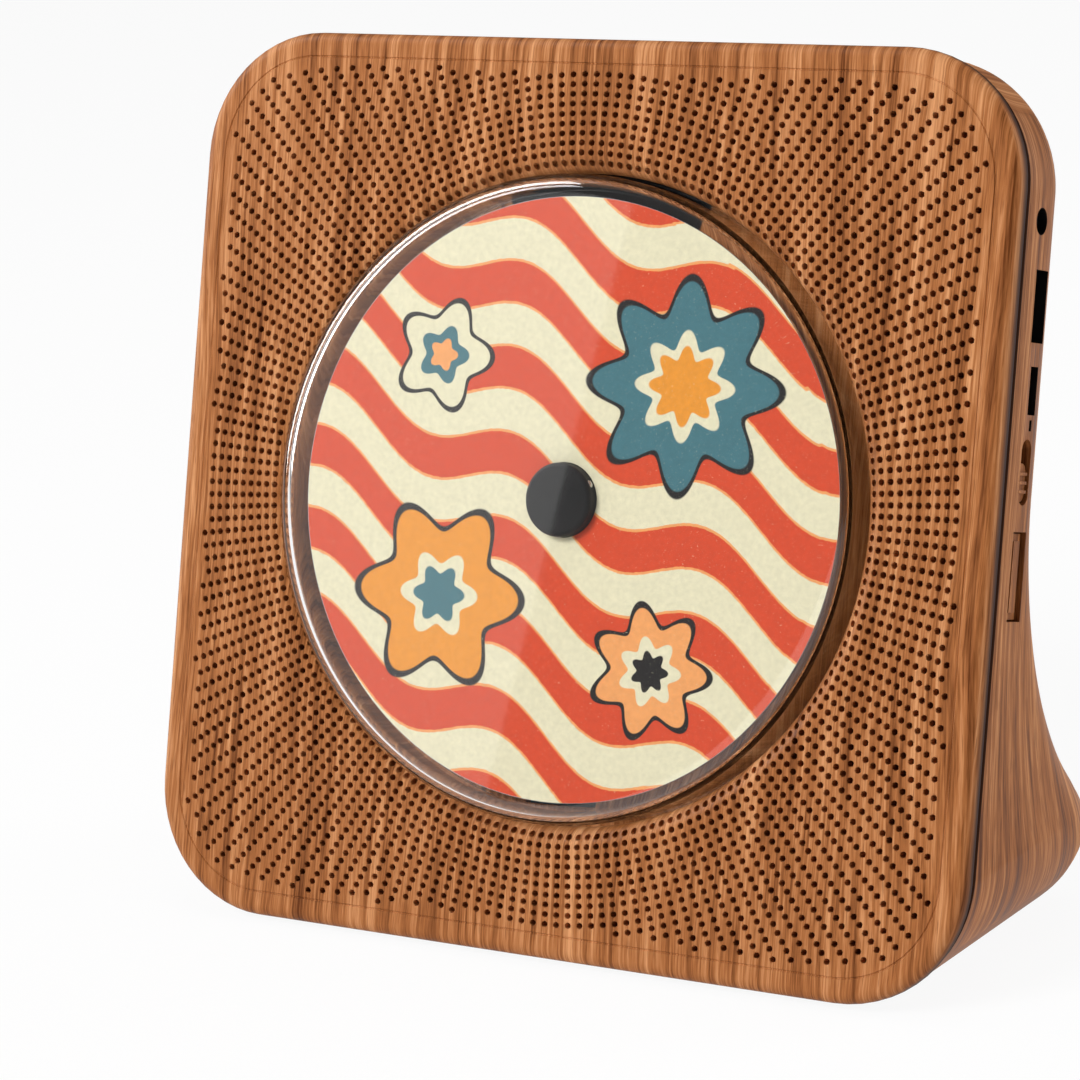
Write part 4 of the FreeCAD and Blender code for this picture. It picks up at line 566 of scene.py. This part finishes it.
@dataclass(frozen=True)
class ClearPlastic:
    """Polished clear plastic that lets lamplight through to what it covers."""

    name: str = "clear_plastic"
    tint: Colour = (0.985, 0.99, 0.99)
    index: float = 1.49
    specular: float = 0.3
    polish: float = 0.008
    smear: float = 0.02
    smear_scale: float = 0.05

    def material(self, deck: Deck) -> bpy.types.Material:
        """Build the material.

        Args:
            deck: The plane that faint wipe marks lie along.

        Returns:
            The finished material.
        """
        shader = Shader(self.name)
        wiped = shader.noise(shader.deck_point(deck), self.smear_scale, detail=3.0)
        sockets = {
            "Base Color": self.tint,
            "Roughness": self.polish + self.smear * wiped,
            "IOR": self.index,
            "Transmission Weight": 1.0,
            "Specular IOR Level": self.specular,
        }
        clear = shader.principled(sockets)
        open_way = shader.node("ShaderNodeBsdfTransparent", sockets={"Color": self.tint})
        lamplight = shader.rays("Is Shadow Ray", "Is Diffuse Ray")
        return shader.finish(shader.blend(lamplight, clear, open_way))


@dataclass(frozen=True)
class Flower:
    """One printed flower: where it stands on the disc, its reach, petals and colours from outside in."""

    x: float
    y: float
    reach: float
    petals: int
    colours: tuple[Colour, ...]
    rings: tuple[float, ...]


@dataclass(frozen=True)
class DiscPrint:
    """Printed face of the disc: waved stripes with flowers over them, silver beyond its edge."""

    name: str = "disc_label"
    vermilion: Colour = (0.66, 0.068, 0.022)
    cream: Colour = (0.78, 0.72, 0.5)
    orange: Colour = (0.86, 0.36, 0.12)
    teal: Colour = (0.06, 0.17, 0.2)
    amber: Colour = (0.8, 0.3, 0.03)
    charcoal: Colour = (0.014, 0.012, 0.012)
    silver: Colour = (0.6, 0.62, 0.63)
    print_radius: float = 59.85
    print_level: float = -0.4
    edge_soft: float = 0.1
    level_soft: float = 0.05
    stripe: float = 17.0
    stripe_span: Span = (0.235, 0.245)
    stripe_slope: float = 0.35
    stripe_fray: float = 0.5
    line_place: float = 0.25
    line_span: Span = (0.012, 0.02)
    wave: float = 4.2
    wave_length: float = 44.0
    petal_depth: float = 0.16
    ring_soft: float = 0.012
    grain: float = 0.9
    fleck_scale: float = 2.2
    fleck_span: Span = (0.62, 0.68)
    fleck_share: float = 0.5
    wear_start: float = 0.3
    wear_share: float = 0.35
    silver_rough: float = 0.12
    ink_rough: float = 0.2
    ink_roughening: float = 0.12
    specular: float = 0.2

    @property
    def flowers(self) -> tuple[Flower, ...]:
        """The printed flowers."""
        ink, pale = self.charcoal, self.cream
        return (
            Flower(25.0, 24.0, 22.0, 8, (ink, self.teal, pale, self.amber), (1.0, 0.93, 0.5, 0.36)),
            Flower(-27.0, -21.0, 20.0, 6, (ink, self.amber, pale, self.teal), (1.0, 0.92, 0.45, 0.3)),
            Flower(-30.0, 27.0, 12.0, 5, (ink, pale, self.teal, self.orange), (1.0, 0.9, 0.5, 0.28)),
            Flower(22.0, -32.0, 14.0, 7, (ink, self.orange, pale, ink), (1.0, 0.9, 0.5, 0.3)),
        )

    def _field(self, shader: Shader, place: Place, flower: Flower) -> Wire:
        """Measure how far out a place lies in a flower.

        Args:
            shader: The tree to draw in.
            place: The place on the deck.
            flower: The flower.

        Returns:
            The share of the way out, 1 on the flower's outline.
        """
        side = place[0] - flower.x
        up = place[1] - flower.y
        turn = shader.math("ARCTAN2", up, side)
        swing = shader.math("COSINE", turn * float(flower.petals))
        edge = 1.0 - self.petal_depth + self.petal_depth * swing
        return shader.far(side, up) / (edge * flower.reach)

    def material(self, deck: Deck) -> bpy.types.Material:
        """Build the material.

        Args:
            deck: The plane that the disc lies along.

        Returns:
            The finished material.
        """
        shader = Shader(self.name)
        point = shader.deck_point(deck)
        place = x, y, z = shader.parts(point)
        rough = shader.noise(point, self.grain, detail=4.0, roughness=0.7)
        wave = self.wave * shader.math("SINE", x * (2 * math.pi / self.wave_length))
        band = y + x * self.stripe_slope + wave + rough * self.stripe_fray
        aside = abs((band / self.stripe) % 1.0 - MIDDLE)
        red = shader.rise(aside, *self.stripe_span)
        line = 1.0 - shader.rise(abs(aside - self.line_place), *self.line_span)
        colour = shader.mix(red, self.cream, self.vermilion)
        colour = shader.mix(line, colour, self.orange)
        for flower in self.flowers:
            reach = self._field(shader, place, flower)
            for ring, tone in zip(flower.rings, flower.colours):
                outside = shader.rise(reach, ring - self.ring_soft, ring + self.ring_soft)
                colour = shader.mix(1.0 - outside, colour, tone)
        specks = shader.noise(point, self.fleck_scale, detail=5.0, roughness=0.75)
        fleck = shader.rise(specks, *self.fleck_span)
        colour = shader.mix(fleck * self.fleck_share, colour, self.cream)
        colour = shader.mix((rough - self.wear_start) * self.wear_share, colour, self.charcoal)
        beyond = shader.rise(shader.far(x, y), self.print_radius, self.print_radius + self.edge_soft)
        printed = (1.0 - beyond) * shader.rise(z, self.print_level - self.level_soft, self.print_level)
        sockets = {
            "Base Color": shader.mix(printed, self.silver, colour),
            "Roughness": self.silver_rough + printed * (self.ink_rough + self.ink_roughening * rough),
            "Metallic": 1.0 - printed,
            "Specular IOR Level": self.specular,
        }
        return shader.finish(shader.principled(sockets))


@dataclass(frozen=True)
class CircuitBoard:
    """Green board with paler tracks and tinned spots."""

    name: str = "circuit_board"
    mask: Colour = (0.012, 0.09, 0.035)
    track: Colour = (0.03, 0.17, 0.07)
    tin: Colour = (0.6, 0.6, 0.58)
    track_scale: float = 0.28
    track_count: float = 3.0
    track_span: Span = (0.5, 0.58)
    spot_scale: float = 0.3
    spot_span: Span = (0.14, 0.18)
    mask_rough: float = 0.42
    tin_polish: float = 0.15
    relief: float = 0.2
    relief_depth: float = 0.05

    def material(self, deck: Deck) -> bpy.types.Material:
        """Build the material.

        Args:
            deck: The plane that the tracks lie along.

        Returns:
            The finished material.
        """
        shader = Shader(self.name)
        point = shader.deck_point(deck)
        cells = shader.node("ShaderNodeTexVoronoi", {"feature": "F1", "distance": "CHEBYCHEV"},
                            {"Vector": point, "Scale": self.track_scale})
        tracks = shader.rise((cells * self.track_count) % 1.0, *self.track_span)
        spots = shader.node("ShaderNodeTexVoronoi", {"feature": "F1"},
                            {"Vector": point, "Scale": self.spot_scale})
        tinned = 1.0 - shader.rise(spots, *self.spot_span)
        colour = shader.mix(tinned, shader.mix(tracks, self.mask, self.track), self.tin)
        sockets = {
            "Base Color": colour,
            "Roughness": self.mask_rough - tinned * self.tin_polish,
            "Metallic": tinned,
            "Normal": shader.bump(tracks + tinned, self.relief, self.relief_depth * MM),
        }
        return shader.finish(shader.principled(sockets))


PLAIN_FINISHES = (
    Moulded("rubber", light=(0.035, 0.035, 0.036), dark=(0.018, 0.018, 0.019),
            smoothest=0.7, roughest=0.95, grain=2.5, relief=0.3),
    Moulded("black_plastic", light=(0.02, 0.02, 0.021), dark=(0.011, 0.011, 0.012),
            smoothest=0.36, roughest=0.62, grain=2.0, relief=0.2),
    Moulded("hub_plastic", light=(0.011, 0.01, 0.01), dark=(0.006, 0.006, 0.006),
            smoothest=0.42, roughest=0.56, grain=1.5, relief=0.06, specular=0.14),
    Moulded("tinted_plastic", light=(0.01, 0.008, 0.009), dark=(0.005, 0.004, 0.005),
            smoothest=0.05, roughest=0.12, grain=0.4, relief=0.02),
    Moulded("gear_plastic", light=(0.76, 0.75, 0.7), dark=(0.66, 0.65, 0.6),
            smoothest=0.35, roughest=0.55, grain=1.5),
    Moulded("cone_paper", light=(0.07, 0.066, 0.062), dark=(0.03, 0.028, 0.027),
            smoothest=0.75, roughest=0.95, grain=1.4, relief=0.5),
    Moulded("grille_fabric", light=(0.06, 0.014, 0.003), dark=(0.024, 0.006, 0.002),
            smoothest=0.85, roughest=1.0, grain=3.0, relief=0.6),
    Moulded("cell_wrap", light=(0.09, 0.22, 0.4), dark=(0.06, 0.16, 0.32),
            smoothest=0.3, roughest=0.45, grain=0.8, relief=0.05),
    Moulded("lens_glass", light=(0.14, 0.16, 0.3), dark=(0.08, 0.1, 0.22),
            smoothest=0.03, roughest=0.06, grain=0.8, relief=0.0, metallic=0.6),
    Moulded("light_pipe", light=(0.2, 0.12, 0.08), dark=(0.12, 0.07, 0.04),
            smoothest=0.2, roughest=0.3, grain=2.0, relief=0.05),
    Moulded("steel", light=(0.62, 0.62, 0.63), dark=(0.48, 0.48, 0.49),
            smoothest=0.2, roughest=0.36, grain=3.0, relief=0.1, metallic=1.0, shares=(1.0, 0.1, 1.0)),
    Moulded("plated_steel", light=(0.7, 0.7, 0.69), dark=(0.55, 0.55, 0.55),
            smoothest=0.26, roughest=0.44, grain=2.2, relief=0.12, metallic=1.0, shares=(0.12, 1.0, 1.0)),
)

FINISHES: dict[str, Finish] = {
    "wood_film": WoodFilm(),
    "well_film": WoodFilm(name="well_film", strip=True),
    "key_plastic": WoodFilm(name="key_film"),
    "clear_plastic": ClearPlastic(),
    "disc_label": DiscPrint(),
    "circuit_board": CircuitBoard(),
    **{finish.name: finish for finish in PLAIN_FINISHES},
}

# Nodes with a film of their own in place of their slot's finish.
FILMS = {"disc_well": "well_film"}


class Palette:
    """Materials of the part, one for each slot of the record and one for each film of a node's own."""

    def __init__(self, deck: Deck, record: dict) -> None:
        """Build every material and note which slot each node has.

        Args:
            deck: The plane that the finishes are drawn on.
            record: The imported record, which names the slots.
        """
        self.materials = {slot: finish.material(deck) for slot, finish in FINISHES.items()}
        self.slots = {entry["node"]: entry["material_slot"] for entry in record["subparts"]}

    def dress(self, thing: bpy.types.Object, node: str) -> None:
        """Give a piece the finish of a node: its own film, or that of its slot."""
        thing.data.materials.clear()
        thing.data.materials.append(self.materials[FILMS.get(node, self.slots[node])])

    def dress_nodes(self, nodes: dict[str, bpy.types.Object]) -> None:
        """Give every solid its finish.

        Args:
            nodes: The solids of the frame, by name.
        """
        for name, thing in nodes.items():
            self.dress(thing, name)
            LOG.info("dressed %s in %s", name, thing.data.materials[0].name)


class Piece:
    """A new mesh that stands for a solid of the frame."""

    name: str = "piece"
    node: str = ""
    body: Body = Body.CASE
    crease: float = 30.0

    def draw(self, mesh: bmesh.types.BMesh) -> None:
        """Draw the piece on the deck, in millimetres."""
        raise NotImplementedError

    def build(self, deck: Deck, palette: Palette) -> bpy.types.Object:
        """Draw the piece, set it on the deck and put it in place of its node.

        Args:
            deck: The plane that the piece is drawn on.
            palette: The materials.

        Returns:
            The new object.
        """
        drawn = bmesh.new()
        self.draw(drawn)
        bmesh.ops.recalc_face_normals(drawn, faces=drawn.faces)
        bmesh.ops.transform(drawn, matrix=deck.matrix, verts=drawn.verts)
        return finished(self.name, drawn, self.crease, self.node, self.body, palette)


def finished(name: str, drawn: bmesh.types.BMesh, crease: float, node: str, body: Body,
             palette: Palette) -> bpy.types.Object:
    """Make an object of a drawn mesh and put it in place of a node.

    Args:
        name: The piece's name.
        drawn: The mesh in metres; it is freed.
        crease: Angle in degrees past which an edge stays sharp.
        node: The node that the piece stands for.
        body: The body that it rides on.
        palette: The materials.

    Returns:
        The new object.
    """
    for face in drawn.faces:
        face.smooth = True
    data = bpy.data.meshes.new(name)
    drawn.to_mesh(data)
    drawn.free()
    data.set_sharp_from_angle(angle=math.radians(crease))
    thing = bpy.data.objects.new(name, data)
    bpy.context.scene.collection.objects.link(thing)
    even = thing.modifiers.new("even_normals", "WEIGHTED_NORMAL")
    even.keep_sharp = True
    palette.dress(thing, node)
    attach(thing, body.value)
    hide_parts(node)
    LOG.info("built %s: %d faces", name, len(data.polygons))
    return thing


def arc(radius: float, steps: int) -> Profile:
    """Give a quarter round as steps sideways and down from where it starts level."""
    turns = [math.pi / 2 * step / steps for step in range(1, steps + 1)]
    return [(radius * math.sin(turn), -radius * (1 - math.cos(turn))) for turn in turns]


@dataclass
class FrontPanel(Piece):
    """Perforated panel with its rolled window lip, groove and rounded rim."""

    half_width: float = 91.7
    half_height: float = 91.2
    corner: float = 26.0
    rim_round: float = 2.4
    skirt: float = 3.6
    wall: float = 2.2
    plate: float = 2.4
    window: float = 64.8
    lip_round: float = 4.5
    lip_depth: float = 8.6
    lip_wall: float = 2.0
    lip_setback: float = 0.25
    groove_in: float = 2.4
    groove_width: float = 0.5
    groove_depth: float = 0.22
    support: float = 0.25
    hole_radius: float = 0.66
    hole_flare: float = 0.1
    hole_rows: int = 200
    hole_pitch: float = 1.93
    hole_edge: float = 1.3
    lip_rings: int = 2
    hole_margin: float = 6.6
    hole_bottom: float = 0.1
    corner_steps: int = 14
    rim_steps: int = 6
    lip_steps: int = 12
    name: str = "panel_skin"
    node: str = "front_panel"

    @property
    def first_ring(self) -> float:
        """Radius of the innermost holes, which lie on the lip's roll."""
        return self.window + self.lip_round + self.hole_edge - self.lip_rings * self.hole_pitch

    @property
    def face_start(self) -> float:
        """Radius where the perforated face starts, half a pitch inside its first ring."""
        return self.first_ring - self.hole_pitch / 2

    @property
    def flat_inset(self) -> float:
        """How far inside the outline the flat, perforated face ends."""
        return self.rim_round + self.groove_in + self.groove_width + self.support

    def _past_core(self, place: Vector) -> Vector:
        """Measure a place from the core that the outline is rounded about.

        Args:
            place: A place on the deck.

        Returns:
            The way to it from the nearest place of the core.
        """
        across = self.half_width - self.corner
        along = self.half_height - self.corner
        core = Vector((max(-across, min(across, place.x)), max(-along, min(along, place.y)), place.z))
        return place - core

    def _outward(self, place: Vector) -> Vector:
        """Give the direction out of the rounded outline at a place."""
        return self._past_core(place).normalized()

    def _inward(self, place: Vector) -> Vector:
        """Give the direction to the window's middle at a place."""
        return -Vector((place.x, place.y, 0.0)).normalized()

    def _is_perforated(self, place: Vector) -> bool:
        """Tell whether a hole belongs at a place, inside a rounded margin."""
        return self._past_core(place).length < self.corner - self.hole_margin

    def _draw_face(self, mesh: bmesh.types.BMesh) -> None:
        """Draw the flat face as a grid of cells on radial rows, cut to the rounded outline.

        Args:
            mesh: The mesh to draw in.
        """
        rings = int((math.hypot(self.half_width, self.half_height) - self.first_ring) / self.hole_pitch)
        first = mesh.verts.new((self.face_start, 0.0, 0.0))
        last = mesh.verts.new((self.face_start + rings * self.hole_pitch, 0.0, 0.0))
        line = mesh.edges.new((first, last))
        bmesh.ops.subdivide_edges(mesh, edges=[line], cuts=rings - 1)
        half_row = Matrix.Rotation(math.pi / self.hole_rows, 3, "Z")
        bmesh.ops.rotate(mesh, cent=(0, 0, 0), matrix=half_row, verts=mesh.verts)
        bmesh.ops.spin(mesh, geom=list(mesh.verts) + list(mesh.edges), cent=(0, 0, 0), axis=(0, 0, 1),
                       angle=2 * math.pi, steps=self.hole_rows, use_merge=True)
        outline = bmesh.new()
        grid = bmesh.ops.create_grid(outline, x_segments=1, y_segments=1, size=1.0)["verts"]
        size = (self.half_width - self.flat_inset, self.half_height - self.flat_inset, 1.0)
        bmesh.ops.scale(outline, vec=size, verts=grid)
        bmesh.ops.bevel(outline, geom=grid, offset=self.corner - self.flat_inset, offset_type="OFFSET",
                        segments=self.corner_steps, profile=0.5, affect="VERTICES", material=-1)
        for edge in outline.edges:
            middle = (edge.verts[0].co + edge.verts[1].co) / 2
            along = edge.verts[1].co - edge.verts[0].co
            normal = Vector((along.y, -along.x, 0.0))
            if normal.dot(middle) < 0:
                normal.negate()
            bmesh.ops.bisect_plane(mesh, geom=list(mesh.verts) + list(mesh.edges) + list(mesh.faces),
                                   plane_co=middle, plane_no=normal, clear_outer=True)
        outline.free()

    def _pierce(self, mesh: bmesh.types.BMesh) -> None:
        """Sink a flared round hole into the middle of every cell inside the margin.

        Args:
            mesh: The mesh with the cells.
        """
        cells = [face for face in mesh.faces if self._is_perforated(face.calc_center_median())]
        bmesh.ops.inset_individual(mesh, faces=cells, thickness=self.hole_flare)
        bmesh.ops.subdivide_edges(mesh, edges=list({edge for face in cells for edge in face.edges}), cuts=1)
        wide = self.hole_radius + self.hole_flare
        for face in cells:
            middle = face.calc_center_median()
            for vertex in face.verts:
                vertex.co = middle + (vertex.co - middle).normalized() * wide
        stages = ((self.hole_radius / wide, -self.hole_flare), (1.0, self.hole_bottom - self.plate))
        for share, level in stages:
            cells = bmesh.ops.extrude_discrete_faces(mesh, faces=cells)["faces"]
            for face in cells:
                middle = face.calc_center_median()
                for vertex in face.verts:
                    vertex.co = middle.lerp(vertex.co, share)
                    vertex.co.z = level
        for face in cells:
            face.material_index = 1

    def _roll_level(self, radius: float) -> float:
        """Give the level of the lip's roll at a radius, zero outside it."""
        side = min(max(self.window + self.lip_round - radius, 0.0), self.lip_round)
        return math.sqrt(self.lip_round ** 2 - side ** 2) - self.lip_round

    def _bend_lip(self, mesh: bmesh.types.BMesh) -> None:
        """Bend the innermost cells down along the lip's roll; the bottoms of their holes stay level.

        Args:
            mesh: The mesh with the pierced face.
        """
        for vertex in mesh.verts:
            if vertex.co.z > -self.plate / 2:
                vertex.co.z += self._roll_level(vertex.co.xy.length)

    def _rim_path(self) -> Profile:
        """Lay the path from the face over the groove and the rim to the back of the plate.

        Returns:
            Its sideways and upright places, counted from the face's outer edge.
        """
        third = self.groove_width / 3
        groove = [(self.support, 0.0), (self.support + third, -self.groove_depth),
                  (self.support + 2 * third, -self.groove_depth), (self.support + self.groove_width, 0.0)]
        flat = self.flat_inset - self.rim_round
        soft = [(flat + side, drop) for side, drop in arc(self.rim_round, self.rim_steps)]
        back = [(self.flat_inset, -self.skirt), (self.flat_inset - self.wall, -self.skirt),
                (self.flat_inset - self.wall, -self.plate)]
        return groove + [(flat, 0.0)] + soft + back

    def _lip_path(self) -> Profile:
        """Lay the path from the face down the rest of the lip's roll to the back of the plate.

        Returns:
            Its sideways and upright places, counted from the face's inner edge.
        """
        start = self.face_start - self.window - self.lip_round
        sunk = self._roll_level(self.face_start)
        roll = [(start + side, drop - sunk) for side, drop in arc(self.lip_round, self.lip_steps)
                if start + side > self.support]
        front = start + self.lip_round - self.lip_setback
        back = start + self.lip_round - self.lip_wall
        return roll + [(front, -self.lip_round - self.support - sunk), (front, -self.lip_depth - sunk),
                       (back, -self.lip_depth - sunk), (back, -self.plate - sunk)]

    def _swept(self, mesh: bmesh.types.BMesh, edges: list[bmesh.types.BMEdge], path: Profile,
               outward: Callable[[Vector], Vector]) -> list[bmesh.types.BMEdge]:
        """Draw a loop of edges out along a path.

        Args:
            mesh: The mesh that is drawn on.
            edges: The loop to start from.
            path: Sideways and upright places to pass, counted from the loop.
            outward: Gives the direction that sideways means at a place.

        Returns:
            The last loop.
        """
        side, level = 0.0, 0.0
        for next_side, next_level in path:
            drawn = bmesh.ops.extrude_edge_only(mesh, edges=edges)["geom"]
            for vertex in (part for part in drawn if isinstance(part, bmesh.types.BMVert)):
                vertex.co += outward(vertex.co) * (next_side - side) + Vector((0, 0, next_level - level))
            edges = [part for part in drawn
                     if isinstance(part, bmesh.types.BMEdge) and len(part.link_faces) == 1]
            side, level = next_side, next_level
        return edges

    def draw(self, mesh: bmesh.types.BMesh) -> None:
        """Draw the panel as one closed skin.

        Args:
            mesh: The mesh to draw in.
        """
        self._draw_face(mesh)
        self._pierce(mesh)
        self._bend_lip(mesh)
        border = [edge for edge in mesh.edges if len(edge.link_faces) == 1]
        between = self.face_start + self.support
        lip = [edge for edge in border if edge.verts[0].co.length < between]
        rim = [edge for edge in border if edge.verts[0].co.length > between]
        rim = self._swept(mesh, rim, self._rim_path(), self._outward)
        lip = self._swept(mesh, lip, self._lip_path(), self._inward)
        bmesh.ops.bridge_loops(mesh, edges=rim + lip)

    def build(self, deck: Deck, palette: Palette) -> bpy.types.Object:
        """Build the panel, with dark cloth at the bottom of its holes.

        Args:
            deck: The plane that the panel is drawn on.
            palette: The materials.

        Returns:
            The new object.
        """
        thing = super().build(deck, palette)
        thing.data.materials.append(palette.materials["grille_fabric"])
        return thing


@dataclass
class DustCover(Piece):
    """Clear round cover: a shallow cap, turned about the disc's axis."""

    radius: float = 64.3
    wall: float = 1.8
    proud: float = 7.2
    front: float = 2.0
    depth: float = 8.4
    rim_round: float = 4.5
    inner_round: float = 2.7
    foot_round: float = 0.5
    round_steps: int = 8
    spin_steps: int = 160
    join: float = 0.001
    name: str = "cover_skin"
    node: str = "dust_cover"
    body: Body = Body.COVER

    def draw(self, mesh: bmesh.types.BMesh) -> None:
        """Draw half the cap's section and spin it.

        Args:
            mesh: The mesh to draw in.
        """
        inside = self.radius - self.wall
        corners = [(0.0, self.proud, 0.0), (self.radius, self.proud, self.rim_round),
                   (self.radius, -self.depth, self.foot_round), (inside, -self.depth, self.foot_round),
                   (inside, self.proud - self.front, self.inner_round), (0.0, self.proud - self.front, 0.0)]
        verts = [mesh.verts.new((x, 0.0, z)) for x, z, _ in corners]
        for first, last in zip(verts, verts[1:]):
            mesh.edges.new((first, last))
        for vertex, (_, _, soft) in zip(verts, corners):
            if soft:
                bmesh.ops.bevel(mesh, geom=[vertex], offset=soft, offset_type="OFFSET",
                                segments=self.round_steps, profile=0.5, affect="VERTICES", material=-1)
        bmesh.ops.spin(mesh, geom=list(mesh.verts) + list(mesh.edges), cent=(0, 0, 0), axis=(0, 0, 1),
                       angle=2 * math.pi, steps=self.spin_steps, use_merge=True)
        bmesh.ops.remove_doubles(mesh, verts=mesh.verts, dist=self.join)


@dataclass
class SmoothedSolid:
    """A solid's own mesh with its triangles joined, so that its curves shade smoothly."""

    node: str
    name: str
    body: Body = Body.CASE
    crease: float = 30.0
    join: float = 2e-6

    def build(self, nodes: dict[str, bpy.types.Object], palette: Palette) -> bpy.types.Object:
        """Copy the solid, join its triangles and put the copy in its place.

        Args:
            nodes: The solids of the frame.
            palette: The materials.

        Returns:
            The new object.
        """
        drawn = bmesh.new()
        drawn.from_mesh(nodes[self.node].data)
        bmesh.ops.remove_doubles(drawn, verts=drawn.verts, dist=self.join)
        return finished(self.name, drawn, self.crease, self.node, self.body, palette)


@dataclass(frozen=True)
class Softbox:
    """One soft lamp: where it stands, how large and bright it is, and what it shows on."""

    name: str
    place: tuple[float, float, float]
    width: float
    height: float
    power: float
    shows: Shows = Shows.BOTH


@dataclass
class Studio:
    """Plain pale floor, soft lamps, even background light and the camera."""

    turn: float = 29.5
    rise: float = 2.0
    roll: float = 4.31
    aim_right: float = 4.86
    aim_down: float = -7.93
    distance: float = 790.6
    nearest: float = 10.0
    focal_pixels: float = 4000.0
    image_pixels: float = 1080.0
    sensor: float = 36.0
    floor_half: float = 12.0
    floor_paint: Colour = (0.86, 0.86, 0.86)
    floor_grain: float = 40.0
    floor_smoothest: float = 0.75
    floor_roughening: float = 0.1
    floor_glow: float = 0.92
    ambient: float = 0.22
    lamps: tuple[Softbox, ...] = (
        Softbox("key_lamp", (-0.55, -1.45, 1.25), width=0.8, height=0.7, power=33.0, shows=Shows.MATTE),
        Softbox("left_card", (-1.4, -0.3, 1.0), width=0.4, height=1.9, power=36.0, shows=Shows.GLOSS),
        Softbox("fill_lamp", (1.4, 1.1, 0.5), width=0.9, height=1.4, power=17.0),
        Softbox("top_lamp", (0.1, 0.15, 1.7), width=1.4, height=1.0, power=6.0, shows=Shows.MATTE),
        Softbox("front_card", (-1.148, -1.144, 0.336), width=0.9, height=1.2, power=2.2, shows=Shows.GLOSS),
    )

    def build(self, deck: Deck) -> None:
        """Set up the floor, the light and the camera.

        Args:
            deck: The plane that the lamps and the camera are turned to.
        """
        self._floor()
        self._world()
        for lamp in self.lamps:
            self._lamp(lamp, deck.origin)
        self._camera(deck)
        bpy.context.scene.view_settings.view_transform = "Standard"

    def _floor(self) -> None:
        """Lay a floor that shows nearly white and keeps a soft shadow."""
        drawn = bmesh.new()
        bmesh.ops.create_grid(drawn, x_segments=1, y_segments=1, size=self.floor_half)
        data = bpy.data.meshes.new("floor")
        drawn.to_mesh(data)
        drawn.free()
        shader = Shader("floor_paint")
        place = shader.node("ShaderNodeTexCoord", output="Object")
        grain = shader.noise(place, self.floor_grain, detail=3.0)
        rough = self.floor_smoothest + self.floor_roughening * grain
        paint = shader.principled({"Base Color": self.floor_paint, "Roughness": rough})
        glow = shader.node("ShaderNodeEmission", sockets={"Color": WHITE, "Strength": 1.0})
        seen = shader.rays("Is Camera Ray", "Is Glossy Ray", "Is Transmission Ray")
        data.materials.append(shader.finish(shader.blend(seen * self.floor_glow, paint, glow)))
        floor = bpy.data.objects.new("floor", data)
        bpy.context.scene.collection.objects.link(floor)

    def _world(self) -> None:
        """Light the scene evenly from all round."""
        world = bpy.data.worlds.new("studio")
        bpy.context.scene.world = world
        world.use_nodes = True
        soft = world.node_tree.nodes["Background"]
        soft.inputs["Color"].default_value = (*WHITE, 1.0)
        soft.inputs["Strength"].default_value = self.ambient

    def _lamp(self, lamp: Softbox, target: Vector) -> None:
        """Hang one softbox and turn it to the object.

        Args:
            lamp: The softbox.
            target: The place that it faces.
        """
        data = bpy.data.lights.new(lamp.name, "AREA")
        data.shape = "RECTANGLE"
        data.size, data.size_y, data.energy = lamp.width, lamp.height, lamp.power
        thing = bpy.data.objects.new(lamp.name, data)
        thing.location = lamp.place
        thing.rotation_euler = (target - Vector(lamp.place)).to_track_quat("-Z", "Y").to_euler()
        thing.visible_diffuse = lamp.shows is not Shows.GLOSS
        thing.visible_glossy = thing.visible_transmission = lamp.shows is not Shows.MATTE
        bpy.context.scene.collection.objects.link(thing)

    def _camera(self, deck: Deck) -> None:
        """Stand the camera where it sees the panel as the picture does.

        Args:
            deck: The plane that the camera's place is measured from.
        """
        turn, rise, roll = (math.radians(angle) for angle in (self.turn, self.rise, self.roll))
        back = Vector((math.sin(turn) * math.cos(rise), math.sin(rise), math.cos(turn) * math.cos(rise)))
        level = Vector((math.cos(turn), 0.0, -math.sin(turn)))
        upright = back.cross(level)
        right = level * math.cos(roll) + upright * math.sin(roll)
        up = upright * math.cos(roll) - level * math.sin(roll)
        place = back * self.distance - right * self.aim_right + up * self.aim_down
        axes = Matrix((right, up, back)).transposed().to_4x4()
        data = bpy.data.cameras.new("camera")
        data.sensor_width = self.sensor
        data.lens = self.focal_pixels / self.image_pixels * self.sensor
        data.clip_start = self.nearest * MM
        thing = bpy.data.objects.new("camera", data)
        thing.matrix_world = Matrix.Translation(deck.matrix @ place) @ deck.turn @ axes
        bpy.context.scene.collection.objects.link(thing)
        bpy.context.scene.camera = thing


def main() -> None:
    """Build every sub-assembly in order."""
    logging.basicConfig(level=logging.INFO, format="%(message)s")
    deck = Deck.on_joint(frame["joints"], "disc_spin")
    palette = Palette(deck, frame["record"])
    palette.dress_nodes(frame["nodes"])
    FrontPanel().build(deck, palette)
    SmoothedSolid("rear_shell", "shell_skin").build(frame["nodes"], palette)
    DustCover().build(deck, palette)
    Studio().build(deck)


if __name__ == "__main__":
    main()
